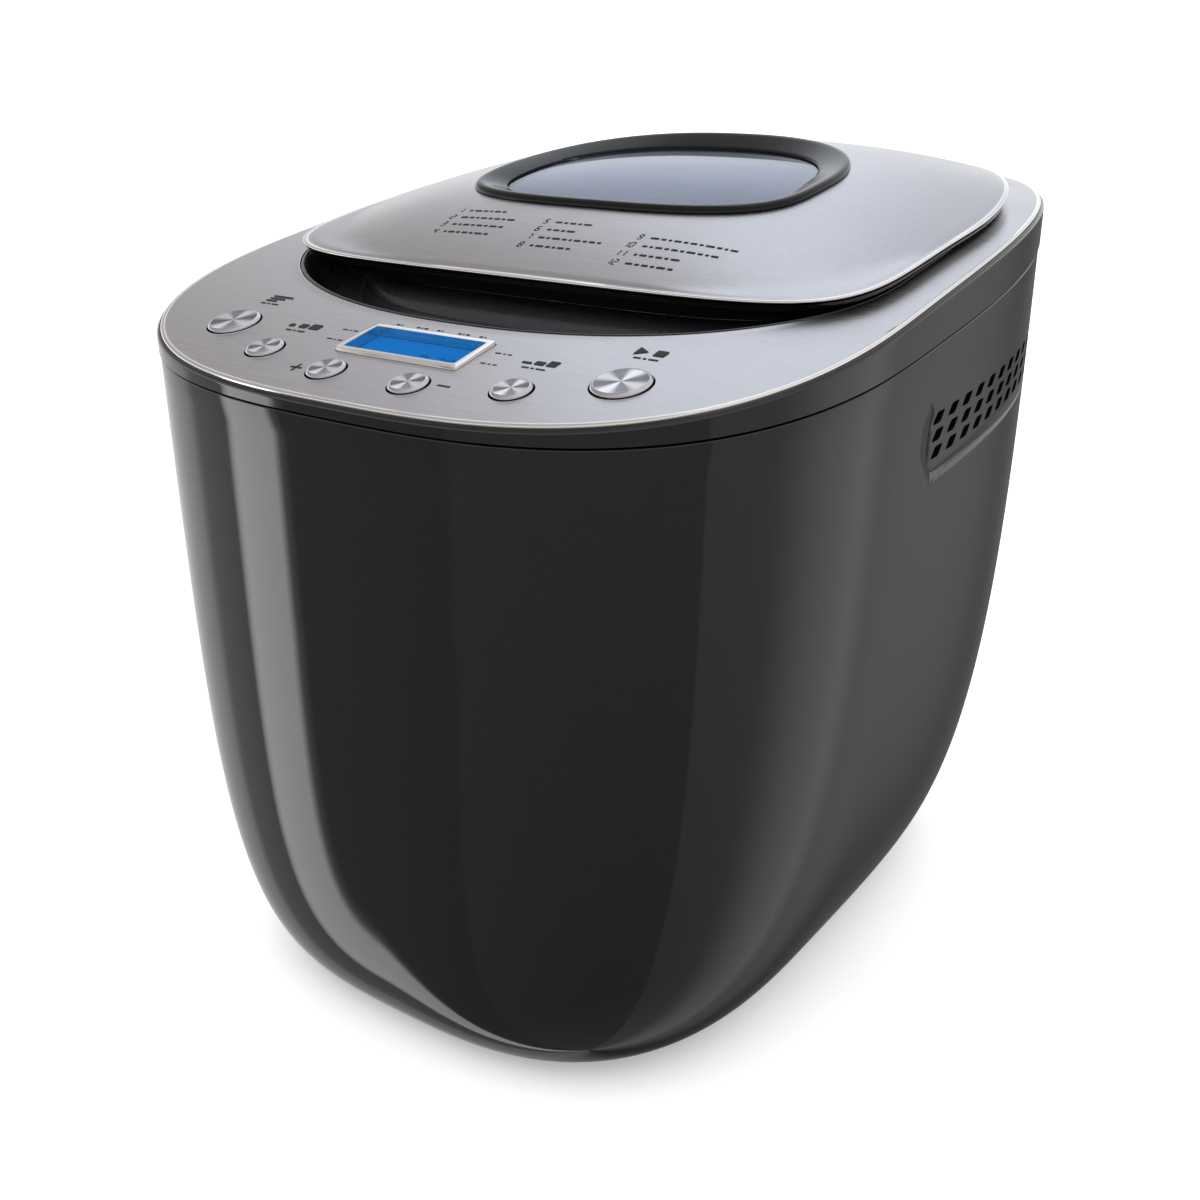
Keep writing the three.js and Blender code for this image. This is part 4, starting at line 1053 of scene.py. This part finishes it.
def make_pan_fittings():
    z, x = 214, 73.6
    left = [(-67.4, 30, z), (-x + 2, 30, z), (-x, 29.4, z + 0.3), (-x, 26, z + 2.4), (-x, 12, z + 12.3),
            (-x + 1.2, -4, z + 15.6)]
    front = [(-62, -18, z + 16), (-50, -22, z + 16), (-30, -22, z + 16), (0, -22, z + 16),
             (30, -22, z + 16), (50, -22, z + 16),
             (62, -18, z + 16)]
    right = [(-a, b, c) for a, b, c in reversed(left)]
    tube("pan_handle", left + front + right, 2.0, PLAIN_STEEL, "bail", "plain_steel", "pan_bail")
    hub = spun(fillet([(3.9, 101.8), (9, 101.8), (9.5, 104), (7.2, 122), (3.9, 122), (3.9, 101.8)], 0.6), 0,
               30, 48)
    blade = bmesh.new()
    shape = [(5, 102), (34, 102), (37, 106), (36, 118), (30, 131), (20, 136), (10, 128), (6, 118)]
    face = blade.faces.new([blade.verts.new((a * MM, 0, b * MM)) for a, b in fillet(shape, 4, 5, True)])
    thick = bmesh.ops.extrude_face_region(blade, geom=[face])
    bmesh.ops.translate(blade, vec=(0, 3 * MM, 0),
                        verts=[v for v in thick["geom"] if isinstance(v, bmesh.types.BMVert)])
    bmesh.ops.translate(blade, vec=(0, 28.5 * MM, 0), verts=blade.verts)
    rims = [e for e in blade.edges if abs(e.verts[0].co.y - e.verts[1].co.y) < 1e-7]
    bmesh.ops.bevel(blade, geom=rims, offset=0.8 * MM, segments=2, profile=0.5, affect="EDGES", material=-1)
    bmesh.ops.recalc_face_normals(blade, faces=blade.faces)
    paddle = new_object("dough_paddle", join_all([hub, blade]), COATING, 40)
    settle(paddle, "kneader", "nonstick", "kneading_paddle")


def make_heater():
    z, x, front, back, far = 104, 75.4, -37.4, 97.4, 24
    half = [(14, -64, z), (14, -50, z), (15, front - 1, z), (20, front, z), (x - far, front, z),
            (x - 3, front + 1, z),
            (x, front + 8, z), (x, front + far, z), (x, 30, z), (x, back - far, z), (x, back - 8, z),
            (x - 3, back - 1, z),
            (x - far, back, z), (0, back, z)]
    path = [(-a, b, c) for a, b, c in half] + list(reversed(half))[1:]
    tube("oven_heater", path, 3.0, PLAIN_STEEL, "housing", "plain_steel", "heating_element")


# ---- finishes of the pieces kept from the CAD model -------------------------------------------
def dress_kept_nodes():
    finishes = {
        MATT: ["base_plate", "hinge_bracket_left", "hinge_bracket_right"],
        RUBBER: ["foot_front_left", "foot_front_right", "foot_rear_left", "foot_rear_right", "mains_gland",
                 "drive_belt"],
        BOARD: ["control_board", "power_board"],
        PLAIN_STEEL: ["drive_stand", "drive_shaft", "drive_coupling", "motor_stand", "motor", "motor_shaft",
                      "pan_foot",
                      "pan_spindle", "hinge_arm_left", "hinge_arm_right", "hinge_pin_left",
                      "hinge_pin_right"],
        BRASS: ["temperature_sensor", "drive_bush", "pan_bush"],
        NYLON: ["drive_pulley", "motor_pulley"],
    }
    for material, names in finishes.items():
        for name in names:
            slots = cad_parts[name].material_slots
            for slot in slots:
                slot.material = material


# ---- room -----------------------------------------------------------------------------------
# The studio is a dim room with a few cards and flats round the machine. Each is a stretch of bearing in
# degrees from the front towards +X: full from, full to, width of the fade in, of the fade out, brightness.
ROOM_LEVEL = 0.15
STUDIO_CARDS = [
    (-118, -86, 50, 7, 0.75),  # wall behind on the left
    (-79, -65.5, 7, 1, 0.37),  # its return
    (-64.5, -52.8, 1, 1, 2.75),  # tall narrow card at the front left
    (-51.8, -28, 1, 0.6, 0.11),  # dark flat
    (-27.6, 61, 0.6, 1, 0.19),  # grey flat
    (62, 150, 1, 30, 0.4),  # broad card on the right
    (124, 138, 34, 14, 0.48),  # soft light behind it
]
CEILING_LEVEL = 0.42
CEILING_PANELS = [
    (100, 220, 190, 26, 0.42),  # broad panel, dimmer towards the left
    (-156, -140, 12, 10, 0.33),  # brighter one above the back right corner
]
STUDIO_PEAK = 4.0


def brightness(level, cards, bearing):
    for first, last, rise, fall, strength in cards:
        for turn in (-360, 0, 360):
            place = bearing + turn
            level += strength * smooth_step(first - rise, first,
                                            place) * (1 - smooth_step(last, last + fall, place))
    return level


def by_bearing(tree, share, level, cards):
    """Brightness over the bearing as a curve, with STUDIO_PEAK as 1."""
    strip = node(tree, "ShaderNodeFloatCurve", None, {"Value": share})
    points = strip.mapping.curves[0].points
    for point, bearing in zip((points[0], points[-1]), (-180, 180)):
        point.location = ((bearing + 180) / 360, brightness(level, cards, bearing) / STUDIO_PEAK)
    for bearing in range(-179, 180):
        points.new((bearing + 180) / 360, brightness(level, cards, bearing) / STUDIO_PEAK)
    for point in points:
        point.handle_type = "VECTOR"
    strip.mapping.update()
    return strip.outputs[0]


def studio_light():
    """Dark below the worktop line, so the gloss shows the cards, and soft and white above it."""
    world = bpy.data.worlds.new("studio")
    world.use_nodes = True
    tree = world.node_tree
    tree.nodes.clear()
    bearing = node(tree, "ShaderNodeTexCoord")
    parts = node(tree, "ShaderNodeSeparateXYZ", None, {0: bearing.outputs["Generated"]})
    flip = node(tree, "ShaderNodeMath", {"operation": "MULTIPLY", 1: -1.0}, {0: parts.outputs[1]})
    turn = node(tree, "ShaderNodeMath", {"operation": "ARCTAN2"}, {0: parts.outputs[0], 1: flip.outputs[0]})
    share = node(tree, "ShaderNodeMapRange", {"From Min": -math.pi, "From Max": math.pi},
                 {0: turn.outputs[0]})
    fade = node(tree, "ShaderNodeMapRange",
                {"From Min": -0.85, "From Max": -0.3, "To Min": 0.5 * STUDIO_PEAK, "To Max": STUDIO_PEAK},
                {0: parts.outputs[2]})
    cards = by_bearing(tree, share.outputs[0], ROOM_LEVEL, STUDIO_CARDS)
    below = node(tree, "ShaderNodeMath", {"operation": "MULTIPLY"}, {0: cards, 1: fade.outputs[0]})
    panels = by_bearing(tree, share.outputs[0], CEILING_LEVEL, CEILING_PANELS)
    lit = node(tree, "ShaderNodeMath", {"operation": "MULTIPLY", 1: STUDIO_PEAK}, {0: panels})
    cool = node(tree, "ShaderNodeMapRange", {"From Min": 0.155, "From Max": 0.115}, {0: share.outputs[0]})
    hue = node(tree, "ShaderNodeMix",
               {"data_type": "RGBA", 6: linear("#fffafb"), 7: linear("#eff5ff")}, {0: cool.outputs[0]})
    ceiling = node(tree, "ShaderNodeMix", {"data_type": "RGBA", "blend_type": "MULTIPLY", 0: 1.0},
                   {6: hue.outputs[2], 7: lit.outputs[0]})
    rise = node(tree, "ShaderNodeMapRange", {"From Min": 0.18, "From Max": 0.34}, {0: parts.outputs[2]})
    dome = node(tree, "ShaderNodeMix", {"data_type": "RGBA", 6: (1.08, 1.08, 1.08, 1.0)},
                {0: rise.outputs[0], 7: ceiling.outputs[2]})
    height = node(tree, "ShaderNodeMapRange", {"From Min": -0.09, "From Max": 0.0}, {0: parts.outputs[2]})
    mixed = node(tree, "ShaderNodeMix", {"data_type": "RGBA"},
                 {0: height.outputs[0], 6: below.outputs[0], 7: dome.outputs[2]})
    shade = node(tree, "ShaderNodeBackground", {"Strength": 1.08}, {0: mixed.outputs[2]})
    node(tree, "ShaderNodeOutputWorld", None, {0: shade.outputs[0]})
    bpy.context.scene.world = world
    bpy.context.scene.view_settings.view_transform = "Standard"


def make_room():
    bm = bmesh.new()
    bmesh.ops.create_grid(bm, x_segments=8, y_segments=8, size=60)
    # White acrylic table, lit a little from below so that the shadows stay light.
    table = plain("pale_floor", "#f6f6f6", "#f8f8f8", 0.7, 4, bump=0.0)
    shader = table.node_tree.nodes["Principled BSDF"]
    shader.inputs["Emission Color"].default_value = (1, 1, 1, 1)
    shader.inputs["Emission Strength"].default_value = 0.3
    floor = new_object("floor", bm, table, smooth=False)
    floor.visible_glossy = False

    lamp = bpy.data.lights.new("high_softbox", "SUN")
    lamp.energy = 2.3
    lamp.angle = math.radians(100)
    holder = bpy.data.objects.new("high_softbox", lamp)
    holder.matrix_world = Matrix.LocRotScale(
        Vector((-0.4, -0.2, 1.0)), Vector((0.1, 0.05, -1)).to_track_quat("-Z", "Y"), None)
    holder.visible_glossy = False
    bpy.context.collection.objects.link(holder)


make_body()
make_deck()
make_fascia()
make_keys()
make_display()
make_fascia_marks()
make_lid()
make_window()
make_lid_marks()
make_oven()
make_pan_fittings()
make_heater()
dress_kept_nodes()
make_room()
studio_light()
